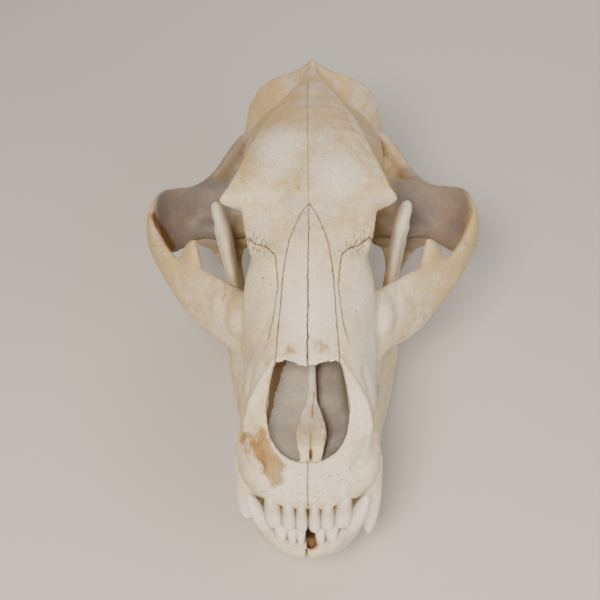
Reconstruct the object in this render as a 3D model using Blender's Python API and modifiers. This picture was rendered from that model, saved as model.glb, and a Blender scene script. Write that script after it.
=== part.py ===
"""Life-size skull of a large brown bear with its lower jaw closed, resting on the jaw.

The skull faces -Y with +Z up, and the animal's own left is at +X. Sizes are in
millimetres, with Y measured back from the tips of the upper incisors and Z up from
the table, until place_in_frame() turns them into Blender's metres about the origin,
which is on the table under the middle of the skull.
"""

import math

import bmesh
import bpy
from mathutils import Matrix, Vector

MM = 0.001
SKULL = "bear_skull"
FRONT_TO_ORIGIN = 185.7
SIDES = {"left": 1, "right": -1}
GAP = 0.32  # between bones that meet
BITE = 69.5  # level where upper and lower cheek teeth meet
BONE_GRAIN = 2.0
MASS_TRIANGLES = 5700
JAW_TRIANGLES = 1400
BONE_COLOUR = (0.80, 0.73, 0.60, 1.0)

# Bone mass from the upper jaw back to the braincase: y, underside, level of the widest
# part, top, half width, and squareness below and above that level (2 is an ellipse)
CORE = [
    (9, 81, 86, 91, 17, 2.4, 2.2),
    (14, 80, 87, 95, 28, 2.6, 2.2),
    (23, 79, 89, 100, 38, 3.0, 2.2),
    (38, 80, 95, 107, 45, 3.2, 2.2),
    (52, 82, 99, 117, 46.5, 3.2, 2.1),
    (66, 84, 102, 136, 46.5, 3.2, 2.0),
    (80, 84, 104, 151, 46, 3.2, 2.0),
    (104, 84, 106, 160, 46, 3.2, 2.1),
    (128, 84, 109, 170, 48, 3.4, 2.3),
    (148, 84, 118, 179, 47, 3.4, 2.9),
    (168, 85, 140, 185, 41, 2.2, 2.8),
    (190, 86, 150, 192, 36, 1.7, 2.6),
    (214, 89, 146, 197, 37, 1.6, 2.4),
    (240, 94, 138, 196, 44, 1.9, 1.9),
    (270, 94, 132, 190, 53, 2.3, 1.7),
    (300, 93, 130, 182, 57, 2.5, 1.65),
    (326, 92, 126, 172, 55, 2.5, 1.7),
    (346, 92, 120, 160, 47, 2.4, 1.9),
    (362, 98, 116, 146, 36, 2.2, 2.0),
]
CORE_SEGMENTS = 40

# Forehead roof between the temporal lines: y, top, level of its edge, half width
ROOF = [
    (138, 171, 158, 28),
    (160, 181, 166, 41),
    (176, 188, 175, 45.5),
    (186, 191.5, 180, 47.5),
    (191, 193.4, 182.5, 52),
    (193.5, 194.8, 184, 62),
    (200, 197, 187, 58.5),
    (214, 199.7, 188.8, 53.2),
    (240, 201, 188, 46),
    (270, 197, 184, 38),
    (300, 190, 179, 29),
    (330, 183, 174, 17),
    (352, 178, 170, 8),
    (368, 175, 166, 5),
]
ROOF_DEPTH = 22.0

# Back of the skull, half its outline from the peak round to the foot: x, y, z
OCCIPUT = [
    (0, 371, 177), (17, 371, 166.5), (32, 370, 161.5), (45, 368, 152.5), (52.5, 364, 141), (56.5, 356, 126),
    (64, 346, 108), (77, 335, 90), (80, 331, 76), (67, 334, 73), (52, 346, 82), (34, 356, 88),
    (14, 364, 88), (0, 365, 94),
]

# Cheek arch from the upper jaw round to the ear: centre x, y, z, half height, half
# thickness, and how far its top leans back for each unit of height
ARCH = [
    (36, 137, 110, 25, 17, 0.40),
    (54, 150, 108.5, 20.5, 13, 0.45),
    (70, 163, 107.5, 22.5, 9, 0.45),
    (85, 176, 107.5, 21, 6.5, 0.40),
    (97, 188, 107.5, 16.5, 6.0, 0.30),
    (108, 203, 109, 13.5, 5.5, 0.10),
    (118, 221, 111, 14, 5.5, 0.05),
    (124, 239, 112, 18, 5.0, 0.20),
    (118.5, 252, 108, 23.5, 5.5, 0.55),
    (107, 261, 105, 22, 5.5, 0.65),
    (92, 270, 105.5, 18.5, 6.0, 0.65),
    (79, 287, 108, 17, 7.0, 0.45),
    (68, 318, 110, 14, 8.0, 0.10),
    (56, 343, 114, 12, 8.0, 0.0),
]

# Spur on the arch behind the eye: centre x, y, z, half length along the arch, half thickness
SPUR = [
    (86, 183, 112, 19, 6.5),
    (87.5, 190, 121, 16, 5.5),
    (87.5, 196.5, 130, 10.3, 4.7),
    (87, 199, 136, 5.3, 3.5),
    (86, 198.5, 140, 2.8, 2.2),
    (84.7, 198, 142, 1, 1),
]

# Round forms fused with the bone on each side: centre and radii
KNOBS = {
    "canine_socket": ((35, 44, 93), (13, 25, 15)),
    "condyle": ((23, 368, 94), (13, 11, 14)),
    "ear_capsule": ((40, 298, 90), (20, 20, 11)),
    "ear_root": ((62, 316, 100), (20, 26, 18)),
    "condyle_neck": ((19, 352, 96), (15, 20, 12)),
    "throat_process": ((48, 347, 84), (9, 7, 18)),
    "process_root": ((54, 338, 93), (17, 14, 13)),
    "jaw_joint": ((70, 262, 98), (34, 15, 10)),
    "joint_roof": ((62, 286, 106), (26, 20, 10)),
    "joint_stop": ((70, 274, 94), (20, 4.5, 13)),
    "wing_plate": ((19, 218, 94), (5, 32, 15)),
    "molar_ledge": ((39, 146, 91), (13, 50, 11)),
}

# Nasal cavity: y, floor, level of the widest part, roof, half width
NASAL_CAVITY = [
    (31, 101, 110, 200, 8),
    (36, 98, 110, 200, 17),
    (46, 95, 111, 200, 24.5),
    (60, 93, 112, 200, 28),
    (75, 93, 113, 200, 26),
    (77, 93, 114, 142, 26),
    (96, 93, 118, 151, 25),
    (120, 95, 128, 161, 23),
    (150, 104, 140, 173, 21),
    (176, 120, 150, 183, 17),
    (190, 140, 160, 186, 11),
]

# Bony partition standing on the cavity's floor: y, top, half width
PARTITION = [
    (32, 101, 6),
    (40, 105, 9),
    (51, 108, 12.5),
    (62, 109, 9),
    (74, 111, 5),
    (88, 115, 3.5),
    (130, 136, 3),
]

# Blind openings on each side, for the nerve below the eye and for the ear: centre and radii
NERVE_OPENING = ((49, 122, 124), (7, 6, 4))
EAR_OPENING = ((80, 298, 95), (13, 5, 5))

# Half width of the two nasal bones seen from above, front to back
NASAL_BONES = [(70, 21.5), (80, 21), (105, 19), (130, 17.6), (150, 14), (165, 10.5), (184, 0.4)]
NASAL_UNDERSIDE = ((70, 135.0), (184, 184.0))  # y, z of two points of the joint below them
FACE_JOINT = ((190, 80), (146, 190))  # y, z of two points of the joint between muzzle and cranium
CHEEK_FRONT = [(59, 190), (59, 118), (150, 118)]  # joint with the upper jaw, in plan
CHEEK_REAR = (222, 111, 0.8)  # joint on the arch: y at a level, and how far it leans forward going up

# Lower jaw from the chin back: centre x, y, z, half height, half thickness, lean of the top
JAW_BODY = [
    (-3, 17, 30, 27, 11, -0.80),
    (12, 18, 30, 27, 11, -0.80),
    (24, 26, 30, 28, 11, -0.60),
    (32, 50, 28, 28.5, 10.5, -0.20),
    (37, 80, 28, 28.5, 10.5, 0.0),
    (42, 110, 29.5, 28.5, 10.5, 0.0),
    (49, 140, 31, 28.5, 10.5, 0.1),
    (55, 168, 32, 29, 10, 0.1),
    (60, 196, 33, 33, 8.5, 0.1),
    (62, 220, 34, 35.0, 7, 0.0),
    (64, 243, 36.5, 37.2, 6.5, 0.0),
    (64.5, 257, 42, 25, 5.5, 0.0),
    (64.5, 267, 46, 9, 3.5, 0.0),
]

# Upright blade of the lower jaw: centre x, y, z, half length and half thickness
JAW_BLADE = [
    (60, 222, 30, 34, 6),
    (61, 222, 55, 31, 6.5),
    (62.5, 221, 80, 25, 6),
    (64.5, 222, 104, 20, 5.6),
    (67, 226, 126, 15, 5.6),
    (70, 229.5, 140, 10, 5),
    (71.8, 231, 147, 4, 3),
]
JAW_CONDYLE = ((71, 259, 82), (25, 7.5, 7.5))
JOINT_SPACE = 1.0  # all round the condyle
JAW_NECK = [(62, 234, 30, 24, 5), (64, 241, 54, 19, 6), (67, 250, 70, 12, 9), (71, 258, 81, 6, 17)]
JAW_CANINE_SOCKET = ((22.5, 22, 42), (9.5, 11.5, 16))
JAW_LEDGE = ((42, 150, 49), (9, 46, 10.5))

# Front teeth: gum x, y, z, tip x, y, z, half width and half depth at the gum
UPPER_INCISORS = [
    (4.2, 13.5, 86, 4.1, 2.5, 66.5, 3.9, 5.0),
    (12.5, 15, 86, 12.1, 4.0, 66.5, 4.4, 5.6),
    (22.4, 19.3, 87, 21.2, 7.0, 65.2, 5.4, 6.6),
]
LOWER_INCISORS = [
    (3.9, 2.0, 52, 3.9, 0.5, 63.5, 2.7, 4.2),
    (9.9, 3.0, 52, 9.6, 1.2, 64.5, 3.2, 4.6),
    (17.1, 5.5, 52, 16.6, 3.5, 65, 4.0, 5.0),
]
UPPER_CANINE = (41.5, 38, 84, 40.5, 19, 37, 7.6, 10.5)
LOWER_CANINE = (25.0, 15, 48, 38.8, 14.5, 90, 7.5, 8.6)
BROKEN_CANINE_LEVEL = 57.0  # the right upper canine has lost its tip

# Cheek teeth: centre x, y, half width, half length, turn in degrees, cusps along and across
UPPER_CHEEK = {
    "p4": (43, 110, 6.8, 8.8, 4, 2, 1),
    "m1": (41, 132, 9.8, 12.2, 2, 2, 2),
    "m2": (39, 165, 10.2, 20.0, -3, 3, 2),
}
LOWER_CHEEK = {
    "p4": (37, 99, 4.6, 7.6, 4, 1, 1),
    "m1": (38.5, 120, 6.2, 12.6, 4, 2, 2),
    "m2": (41, 147, 8.8, 13.6, 4, 2, 2),
    "m3": (43, 172, 8.4, 10.6, 4, 1, 1),
}
CUSP = 3.4  # how far the cusps stand below or above their crown


def refine(stations, steps):
    """Stations with smooth ones put in between, steps to a span."""
    rows = []
    last = len(stations) - 1
    for i in range(last):
        a, b, c, d = (stations[min(max(i + k, 0), last)] for k in (-1, 0, 1, 2))
        for step in range(steps):
            t = step / steps
            rows.append(
                tuple(
                    q + 0.5 * t * (r - p + t * (2 * p - 5 * q + 4 * r - s + t * (3 * (q - r) + s - p)))
                    for p, q, r, s in zip(a, b, c, d)
                )
            )
    rows.append(tuple(stations[last]))
    return rows


def bulge(part, squareness):
    """A circle's cosine or sine, pushed out to a squarer outline."""
    return math.copysign(abs(part) ** (2 / squareness), part)


def upright_ring(y, under, widest, top, half_width, square_below, square_above, segments=CORE_SEGMENTS):
    """Ring of points across the skull at y."""
    ring = []
    for step in range(segments):
        turn = math.tau * step / segments
        across, up = math.cos(turn), math.sin(turn)
        square, reach = (square_above, top - widest) if up > 0 else (square_below, widest - under)
        ring.append(Vector((half_width * bulge(across, square), y, widest + reach * bulge(up, square))))
    return ring


def oval_ring(centre, side, up, segments=12):
    """Oval ring of points about a centre, from its two half axes."""
    turns = (math.tau * step / segments for step in range(segments))
    return [centre + side * math.cos(turn) + up * math.sin(turn) for turn in turns]


def flip(rings, side):
    """The rings, mirrored for the right side."""
    return [[Vector((point.x * side, point.y, point.z)) for point in ring] for ring in rings]


def mesh_object(name, shape):
    """Object in the scene made of a bmesh with its faces turned outwards."""
    bmesh.ops.recalc_face_normals(shape, faces=shape.faces)
    mesh = bpy.data.meshes.new(name)
    shape.to_mesh(mesh)
    shape.free()
    made = bpy.data.objects.new(name, mesh)
    bpy.context.scene.collection.objects.link(made)
    return made


def loft(name, rings):
    """Closed skin through the rings, each extruded from the one before."""
    shape = bmesh.new()
    loop = bmesh.ops.create_circle(shape, segments=len(rings[0]), radius=1)["verts"]
    for vertex, point in zip(loop, rings[0]):
        vertex.co = point
    for ring in rings[1:]:
        edges = [shape.edges.get((a, b)) for a, b in zip(loop, loop[1:] + loop[:1])]
        grown = set(bmesh.ops.extrude_edge_only(shape, edges=edges)["geom"])
        loop = [next(e.other_vert(v) for e in v.link_edges if e.other_vert(v) in grown) for v in loop]
        for vertex, point in zip(loop, ring):
            vertex.co = point
    bmesh.ops.holes_fill(shape, edges=shape.edges, sides=0)
    return mesh_object(name, shape)


def ball(name, centre, radii, segments=16):
    """Ball stretched to three radii."""
    shape = bmesh.new()
    bmesh.ops.create_uvsphere(shape, u_segments=segments, v_segments=segments // 2 + 1, radius=1)
    place = Matrix.LocRotScale(Vector(centre), None, Vector(radii))
    bmesh.ops.transform(shape, matrix=place, verts=shape.verts)
    return mesh_object(name, shape)


def block(name, outline, low, high):
    """Upright block over an outline in plan, its ends given as levels or functions of x and y."""
    levels = [level if callable(level) else (lambda x, y, level=level: level) for level in (low, high)]
    return loft(name, [[Vector((x, y, level(x, y))) for x, y in outline] for level in levels])


def swept(name, stations, side, segments=14):
    """Bar whose rings stand across the way to the next station and may lean back."""
    rings = []
    last = len(stations) - 1
    for i, (x, y, z, half_height, half_thickness, lean) in enumerate(stations):
        before, after = stations[max(i - 1, 0)], stations[min(i + 1, last)]
        way = Vector((after[0] - before[0], after[1] - before[1], 0)).normalized()
        across = Vector((way.y, -way.x, 0)) * half_thickness
        rings.append(oval_ring(Vector((x, y, z)), across, Vector((0, lean, 1)) * half_height, segments))
    return loft(name, flip(rings, side))


def stack(name, stations, side, turn=0.0, segments=12):
    """Bar of level oval rings: centre, half length along a turned Y and half thickness."""
    along = Vector((math.sin(turn), math.cos(turn), 0))
    across = Vector((math.cos(turn), -math.sin(turn), 0))
    rings = [oval_ring(Vector((x, y, z)), across * b, along * a, segments) for x, y, z, a, b in stations]
    return loft(name, flip(rings, side))


def apply_modifiers(target):
    """Puts the evaluated mesh in place of the object's own mesh and modifiers."""
    bpy.context.view_layer.update()
    graph = bpy.context.evaluated_depsgraph_get()
    mesh = bpy.data.meshes.new_from_object(target.evaluated_get(graph))
    target.modifiers.clear()
    target.data = mesh


def combine(target, operation, others):
    """Applies one Boolean of the target with all the others, then removes them.

    Where several rounded forms cross at once the exact solver leaves edges with four
    faces, so this uses the manifold solver on closed meshes.
    """
    tools = bpy.data.collections.new(f"{target.name}_tools")
    for other in others:
        tools.objects.link(other)
    boolean = target.modifiers.new(operation.lower(), "BOOLEAN")
    boolean.operation = operation
    boolean.operand_type = "COLLECTION"
    boolean.collection = tools
    boolean.solver = "MANIFOLD"
    apply_modifiers(target)
    bpy.data.collections.remove(tools)
    for other in others:
        bpy.data.objects.remove(other)
    return target


def copy_of(source, name):
    """Second object with its own copy of the mesh."""
    made = bpy.data.objects.new(name, source.data.copy())
    bpy.context.scene.collection.objects.link(made)
    return made


def soften(target, grain, passes, triangles):
    """Melts the fused pieces into one bone of about so many triangles."""
    remesh = target.modifiers.new("melt", "REMESH")
    remesh.mode = "VOXEL"
    remesh.voxel_size = grain
    smooth = target.modifiers.new("smooth", "SMOOTH")
    smooth.factor = 0.5
    smooth.iterations = passes
    apply_modifiers(target)
    thin = target.modifiers.new("thin", "DECIMATE")
    thin.ratio = min(1.0, triangles / sum(len(face.vertices) - 2 for face in target.data.polygons))
    thin.use_symmetry = True
    thin.symmetry_axis = "X"
    apply_modifiers(target)


def keep_largest(target):
    """Drops every closed surface but the largest."""
    shape = bmesh.new()
    shape.from_mesh(target.data)
    left = set(shape.faces)
    shells = []
    while left:
        shell, edge_of = [], [left.pop()]
        while edge_of:
            face = edge_of.pop()
            shell.append(face)
            for edge in face.edges:
                for other in edge.link_faces:
                    if other in left:
                        left.remove(other)
                        edge_of.append(other)
        shells.append(shell)
    shells.sort(key=lambda shell: sum(face.calc_area() for face in shell))
    scraps = [face for shell in shells[:-1] for face in shell]
    bmesh.ops.delete(shape, geom=scraps, context="FACES")
    shape.to_mesh(target.data)
    shape.free()
    return target


def occiput_rings():
    """Rings from inside the braincase to the flat back of the skull."""
    half = [Vector(point) for point in OCCIPUT]
    outline = half + [Vector((-p.x, p.y, p.z)) for p in reversed(half[1:-1])]
    heart = Vector((0, 352, 120))
    rings = []
    for size, back in ((0.60, -40), (0.84, -26), (0.97, -10), (1.0, -3), (0.97, 1), (0.80, -1), (0.45, -2)):
        rings.append([heart + Vector(((p.x - heart.x) * size, p.y - heart.y + back, (p.z - heart.z) * size))
                      for p in outline])
    return rings


def build_bone_mass():
    """Cranium, muzzle and cheek arches as one piece, before its cavities and joints."""
    mass = loft("mass", [upright_ring(*row) for row in refine(CORE, 2)])
    roof = [
        upright_ring(y, edge - ROOF_DEPTH, edge, top, half, 1.5, 1.9)
        for y, top, edge, half in refine(ROOF, 2)
    ]
    pieces = [loft("roof", roof), loft("occiput", occiput_rings())]
    for label, side in SIDES.items():
        pieces.append(swept(f"arch_{label}", refine(ARCH, 3), side))
        pieces.append(stack(f"spur_{label}", refine(SPUR, 2), side, math.radians(38)))
        for knob, ((x, y, z), radii) in KNOBS.items():
            pieces.append(ball(f"{knob}_{label}", (x * side, y, z), radii))
    combine(mass, "UNION", pieces)
    soften(mass, BONE_GRAIN, 6, MASS_TRIANGLES)
    return mass


def carve_cavities(mass):
    """Opens the nose, the throat behind it, the ears and the hole for the spinal cord."""
    cavity = [upright_ring(y, floor, widest, top, half, 2.6, 3.0, 28)
              for y, floor, widest, top, half in refine(NASAL_CAVITY, 1)]
    cord = [oval_ring(Vector((0, y, z)), Vector((half, 0, 0)), Vector((0, 0, half * 0.8)), 20)
            for y, z, half in ((335, 118, 8), (352, 115, 14), (380, 112, 17))]
    throat = [oval_ring(Vector((0, y, z)), Vector((half, 0, 0)), Vector((0, 0, half)), 16)
              for y, z, half in ((172, 106, 5), (190, 98, 11), (215, 88, 13), (250, 80, 12))]
    centre, radii = JAW_CONDYLE
    joint = (centre, [radius + JOINT_SPACE for radius in radii])
    hollows = [loft("nose", cavity), loft("cord", cord), loft("throat", throat)]
    for side in SIDES.values():
        for (x, y, z), sizes in (joint, NERVE_OPENING, EAR_OPENING):
            hollows.append(ball("hollow", (x * side, y, z), sizes, 16 if sizes is joint[1] else 10))
    combine(mass, "DIFFERENCE", hollows)
    partition = [
        upright_ring(y, 86, top - 3, top, half, 0.9, 1.6, 16) for y, top, half in refine(PARTITION, 2)
    ]
    combine(mass, "UNION", [loft("partition", partition)])


def front_tooth(name, sizes, side, bend=0.0, segments=8, cut=None):
    """Incisor or canine from its root to its tip, bent forward half way."""
    x, y, z, tip_x, tip_y, tip_z, half_width, half_depth = sizes
    gum, tip = Vector((x, y, z)), Vector((tip_x, tip_y, tip_z))
    rings = []
    for share, size in ((-0.2, 0.9), (0.0, 0.98), (0.3, 0.98), (0.6, 0.78), (0.86, 0.46), (1.0, 0.12)):
        centre = gum.lerp(tip, share) + Vector((0, -bend * math.sin(math.pi * max(share, 0)), 0))
        rings.append((centre, size))
        if cut is not None and (centre.z - cut) * (gum.z - cut) < 0:
            rings[-1] = (Vector((centre.x, centre.y, cut)), size)
            break
    ovals = [
        oval_ring(centre, Vector((half_width * size, 0, 0)), Vector((0, half_depth * size, 0)), segments)
        for centre, size in rings
    ]
    return loft(name, flip(ovals, side))


def incisor(name, sizes, side):
    """Chisel-shaped tooth."""
    x, y, z, tip_x, tip_y, tip_z, half_width, half_depth = sizes
    gum, tip = Vector((x, y, z)), Vector((tip_x, tip_y, tip_z))
    rings = []
    profile = ((-0.2, 0.7, 0.7), (0.15, 0.85, 1.0), (0.55, 1.0, 0.85), (0.88, 0.92, 0.5), (1.0, 0.6, 0.25))
    for share, wide, deep in profile:
        across, depth = Vector((half_width * wide, 0, 0)), Vector((0, half_depth * deep, 0))
        rings.append(oval_ring(gum.lerp(tip, share), across, depth, 8))
    return loft(name, flip(rings, side))


def cheek_tooth(name, sizes, side, down):
    """Crown with its cusps; down is 1 for an upper tooth and -1 for a lower one."""
    x, y, half_width, half_length, degrees, rows, columns = sizes
    turn = math.radians(degrees)
    level = BITE + down * GAP / 2
    stations = []
    for height, size in ((15, 0.82), (8, 0.93), (4.5, 1.0), (CUSP * 0.55, 0.82), (CUSP * 0.7, 0.4)):
        stations.append((x, y, level + down * height, half_length * size, half_width * size))
    crown = stack(name, stations, side, turn, 10)
    cusps = []
    for row in range(rows):
        for column in range(columns):
            along = (row - (rows - 1) / 2) * 2 * half_length * 0.62 / rows * 1.25
            across = (column - (columns - 1) / 2) * half_width * 0.95
            cx = x + math.sin(turn) * along + math.cos(turn) * across
            cy = y + math.cos(turn) * along - math.sin(turn) * across
            reach = half_length * 0.9 / rows
            cone = [(cx, cy, level + down * h, reach * s, half_width * 0.45 * s)
                    for h, s in ((CUSP * 1.8, 1.1), (CUSP * 0.7, 0.8), (0.0, 0.22))]
            cusps.append(stack(f"{name}_cusp", cone, side, turn, 6))
    return [crown] + cusps


def upper_teeth():
    """All upper teeth with roots sunk in the jaw."""
    teeth = []
    for label, side in SIDES.items():
        for number, sizes in enumerate(UPPER_INCISORS, 1):
            teeth.append(incisor(f"upper_i{number}_{label}", sizes, side))
        cut = BROKEN_CANINE_LEVEL if label == "right" else None
        teeth.append(front_tooth(f"upper_canine_{label}", UPPER_CANINE, side, 2.5, 12, cut))
        for name, sizes in UPPER_CHEEK.items():
            teeth += cheek_tooth(f"upper_{name}_{label}", sizes, side, 1)
    return teeth


def lower_teeth(label, side):
    """Lower teeth of one side; the left first incisor was lost and its socket is open."""
    teeth = []
    for number, sizes in enumerate(LOWER_INCISORS, 1):
        if (label, number) != ("left", 1):
            teeth.append(incisor(f"lower_i{number}_{label}", sizes, side))
    teeth.append(front_tooth(f"lower_canine_{label}", LOWER_CANINE, side, 2.0, 12))
    for name, sizes in LOWER_CHEEK.items():
        teeth += cheek_tooth(f"lower_{name}_{label}", sizes, side, -1)
    return teeth


def nasal_region(name, extra):
    """Block round both nasal bones, grown by a gap."""
    edge = [(half + extra, y) for y, half in NASAL_BONES]
    edge[-1] = (NASAL_BONES[-1][1] + extra, NASAL_BONES[-1][0] + extra)
    outline = edge + [(-x, y) for x, y in reversed(edge)]
    (y0, z0), (y1, z1) = NASAL_UNDERSIDE
    return block(name, outline, lambda x, y: z0 - extra + (y - y0) * (z1 - z0) / (y1 - y0), 230)


def half_space(name, side, start):
    """Block over everything beyond start on one side."""
    near, far = side * start, side * 200
    return block(name, [(near, -60), (far, -60), (far, 430), (near, 430)], -60, 260)


def face_region(name, shift):
    """Block in front of the joint between muzzle and cranium."""
    (y0, z0), (y1, z1) = FACE_JOINT
    slope = (y1 - y0) / (z1 - z0)
    rings = []
    for z in (-60, 260):
        back = y0 + (z - z0) * slope + shift
        rings.append([Vector((x, y, z)) for x, y in ((-200, -60), (200, -60), (200, back), (-200, back))])
    return loft(name, rings)


def cheek_region(name, side, extra):
    """Block round one cheek bone, its rear end leaning forward."""
    rear, level, lean = CHEEK_REAR
    rings = []
    for z in (40, 160):
        end = rear + (level - z) * lean + extra
        outline = [(x - extra if x < 100 else x, y) for x, y in CHEEK_FRONT]
        outline += [(150, end), (98, end), (76 - extra, end + 14)]
        rings.append([Vector((x * side, y, z)) for x, y in outline])
    return loft(name, rings)


def part_bones(mass):
    """Parts the whole bone mass along its main joints."""
    nodes = {}
    for label, side in SIDES.items():
        nasal = combine(copy_of(mass, f"nasal_{label}"), "INTERSECT", [nasal_region("nasal_tool", 0)])
        combine(nasal, "INTERSECT", [half_space("side_tool", side, GAP / 2)])
        nodes[nasal.name] = nasal
        zygomatic = copy_of(mass, f"zygomatic_{label}")
        nodes[zygomatic.name] = combine(zygomatic, "INTERSECT", [cheek_region("cheek_tool", side, 0)])
    regions = [cheek_region("cheek_tool", side, GAP) for side in SIDES.values()]
    combine(mass, "DIFFERENCE", [nasal_region("nasal_tool", GAP)] + regions)
    muzzle = combine(copy_of(mass, "muzzle"), "INTERSECT", [face_region("face_tool", 0)])
    cranium = combine(copy_of(mass, "cranium"), "DIFFERENCE", [face_region("face_tool", GAP)])
    bpy.data.objects.remove(mass)
    combine(muzzle, "UNION", upper_teeth())
    nodes["muzzle"], nodes["cranium"] = muzzle, cranium
    return nodes


def build_mandible(label, side):
    """One half of the lower jaw with its teeth."""
    jaw = swept(f"mandible_{label}", refine(JAW_BODY, 2), side, 20)
    pieces = [
        stack("blade", refine(JAW_BLADE, 2), side, math.radians(10), 16),
        stack("neck", JAW_NECK, side, 0.0, 12),
    ]
    for (x, y, z), radii in (JAW_CONDYLE, JAW_LEDGE, JAW_CANINE_SOCKET):
        pieces.append(ball("knob", (x * side, y, z), radii))
    combine(jaw, "UNION", pieces)
    soften(jaw, BONE_GRAIN, 4, JAW_TRIANGLES)
    combine(jaw, "INTERSECT", [half_space("midline", side, GAP / 2)])
    combine(jaw, "UNION", lower_teeth(label, side))
    combine(jaw, "INTERSECT", [block("table", [(-200, -60), (200, -60), (200, 430), (-200, 430)], 0, 260)])
    return jaw


def place_in_frame(made):
    """Turns an object in skull millimetres into metres about the origin."""
    made.data.transform(Matrix.Scale(MM, 4) @ Matrix.Translation((0, -FRONT_TO_ORIGIN, 0)))


def bone_material(name):
    """Plain bone colour for one node."""
    material = bpy.data.materials.new(f"{name}_bone")
    material.use_nodes = True
    shader = material.node_tree.nodes["Principled BSDF"]
    shader.inputs["Base Color"].default_value = BONE_COLOUR
    shader.inputs["Roughness"].default_value = 0.6
    return material


def main():
    for leftover in list(bpy.data.objects):
        bpy.data.objects.remove(leftover)
    mass = build_bone_mass()
    carve_cavities(mass)
    nodes = part_bones(mass)
    for label, side in SIDES.items():
        jaw = build_mandible(label, side)
        nodes[jaw.name] = jaw
    skull = bpy.data.collections.new(SKULL)
    bpy.context.scene.collection.children.link(skull)
    for name, made in nodes.items():
        keep_largest(made)
        place_in_frame(made)
        made.name = name
        made.data.materials.clear()
        made.data.materials.append(bone_material(name))
        bpy.context.scene.collection.objects.unlink(made)
        skull.objects.link(made)


main()
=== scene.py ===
"""Looks of a life-size brown bear skull: dry bones parted at their natural joints, and enamel teeth.

Sizes are in skull millimetres: X from the midline to the animal's left, Y back from the tips
of the upper incisors, and Z up from the table. place_in_frame() turns them into the metres of
the CAD frame, whose origin is on the table under the middle of the skull.
"""

from __future__ import annotations

import logging
import math
from collections.abc import Callable, Sequence
from dataclasses import dataclass
from enum import Enum

import bmesh
import bpy
import numpy as np
from mathutils import Matrix, Vector, noise
from mathutils.bvhtree import BVHTree

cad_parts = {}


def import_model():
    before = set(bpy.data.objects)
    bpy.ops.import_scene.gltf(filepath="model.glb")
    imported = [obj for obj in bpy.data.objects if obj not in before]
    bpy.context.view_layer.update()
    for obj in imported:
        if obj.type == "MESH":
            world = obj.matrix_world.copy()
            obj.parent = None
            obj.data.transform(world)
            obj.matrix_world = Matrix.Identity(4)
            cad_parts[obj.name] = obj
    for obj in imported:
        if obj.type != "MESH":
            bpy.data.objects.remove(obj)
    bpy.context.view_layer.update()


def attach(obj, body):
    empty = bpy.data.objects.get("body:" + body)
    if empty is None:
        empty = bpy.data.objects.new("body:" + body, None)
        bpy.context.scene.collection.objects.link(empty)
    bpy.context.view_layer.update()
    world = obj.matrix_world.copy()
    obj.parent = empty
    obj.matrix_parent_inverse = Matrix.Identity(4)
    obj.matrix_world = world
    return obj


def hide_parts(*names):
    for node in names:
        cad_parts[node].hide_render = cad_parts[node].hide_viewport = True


log = logging.getLogger("bear_skull")

Row = tuple[float, ...]
Rows = tuple[Row, ...]
Places = tuple[tuple[Row, Row], ...]  # centre and radii
Marks = tuple[tuple[Row, Row, float], ...]  # centre, radii, and height or strength
Lines = tuple[tuple[Rows, float, float], ...]  # path, reach, and height or strength
Level = float | Callable[[float, float], float]
Ring = list[Vector]
Object = bpy.types.Object
Material = bpy.types.Material
Socket = bpy.types.NodeSocket

MM = 0.001
FRONT_TO_ORIGIN = 185.7
GAP = 0.32  # between bones that meet
BITE = 69.5  # level where upper and lower cheek teeth meet
MOST_TRIANGLES = 190_000
FAR_FROM_SEAM = 6.0
BODY = "root"
# Where cutting blocks end, clear of the skull
ASIDE, AHEAD, BEHIND, BELOW, ABOVE, OVER_FACE = 200.0, -60.0, 430.0, -60.0, 260.0, 230.0


class Side(Enum):
    """Side of the animal, as the sign of its X."""

    LEFT = 1
    RIGHT = -1

    @property
    def label(self) -> str:
        """Name used in the pieces' names."""
        return self.name.lower()


class Jaw(Enum):
    """Which row a cheek tooth is in, as the way its root points from the bite."""

    UPPER = 1
    LOWER = -1


# ---------------------------------------------------------------- shaping


def refine(stations: Sequence[Row], steps: int) -> list[Row]:
    """Puts smooth stations in between the given ones.

    Args:
        stations: Rows of numbers that follow each other.
        steps: How many spans each span becomes.

    Returns:
        The rows on a smooth curve through all the stations.
    """
    rows: list[Row] = []
    last = len(stations) - 1
    for i in range(last):
        a, b, c, d = (stations[min(max(i + k, 0), last)] for k in (-1, 0, 1, 2))
        for step in range(steps):
            t = step / steps
            rows.append(tuple(
                q + 0.5 * t * (r - p + t * (2 * p - 5 * q + 4 * r - s + t * (3 * (q - r) + s - p)))
                for p, q, r, s in zip(a, b, c, d)
            ))
    rows.append(tuple(stations[last]))
    return rows


def bulge(part: float, squareness: float) -> float:
    """Pushes a circle's cosine or sine out to a squarer outline."""
    return math.copysign(abs(part) ** (2 / squareness), part)


def upright_ring(
    y: float, under: float, widest: float, top: float, half_width: float,
    square_below: float, square_above: float, segments: int = 56,
) -> Ring:
    """Makes a ring of points across the skull.

    Args:
        y: Where the ring stands.
        under: Its lowest level.
        widest: The level where it is widest.
        top: Its highest level.
        half_width: Half its width.
        square_below: Squareness under the widest level, 2 being an ellipse.
        square_above: Squareness over it.
        segments: How many points it has.

    Returns:
        The ring's points.
    """
    ring = []
    for step in range(segments):
        turn = math.tau * step / segments
        across, up = math.cos(turn), math.sin(turn)
        square, reach = (square_above, top - widest) if up > 0 else (square_below, widest - under)
        ring.append(Vector((half_width * bulge(across, square), y, widest + reach * bulge(up, square))))
    return ring


def oval_ring(centre: Vector, side: Vector, up: Vector, segments: int = 20) -> Ring:
    """Makes an oval ring of points about a centre, from its two half axes."""
    turns = (math.tau * step / segments for step in range(segments))
    return [centre + side * math.cos(turn) + up * math.sin(turn) for turn in turns]


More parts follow.
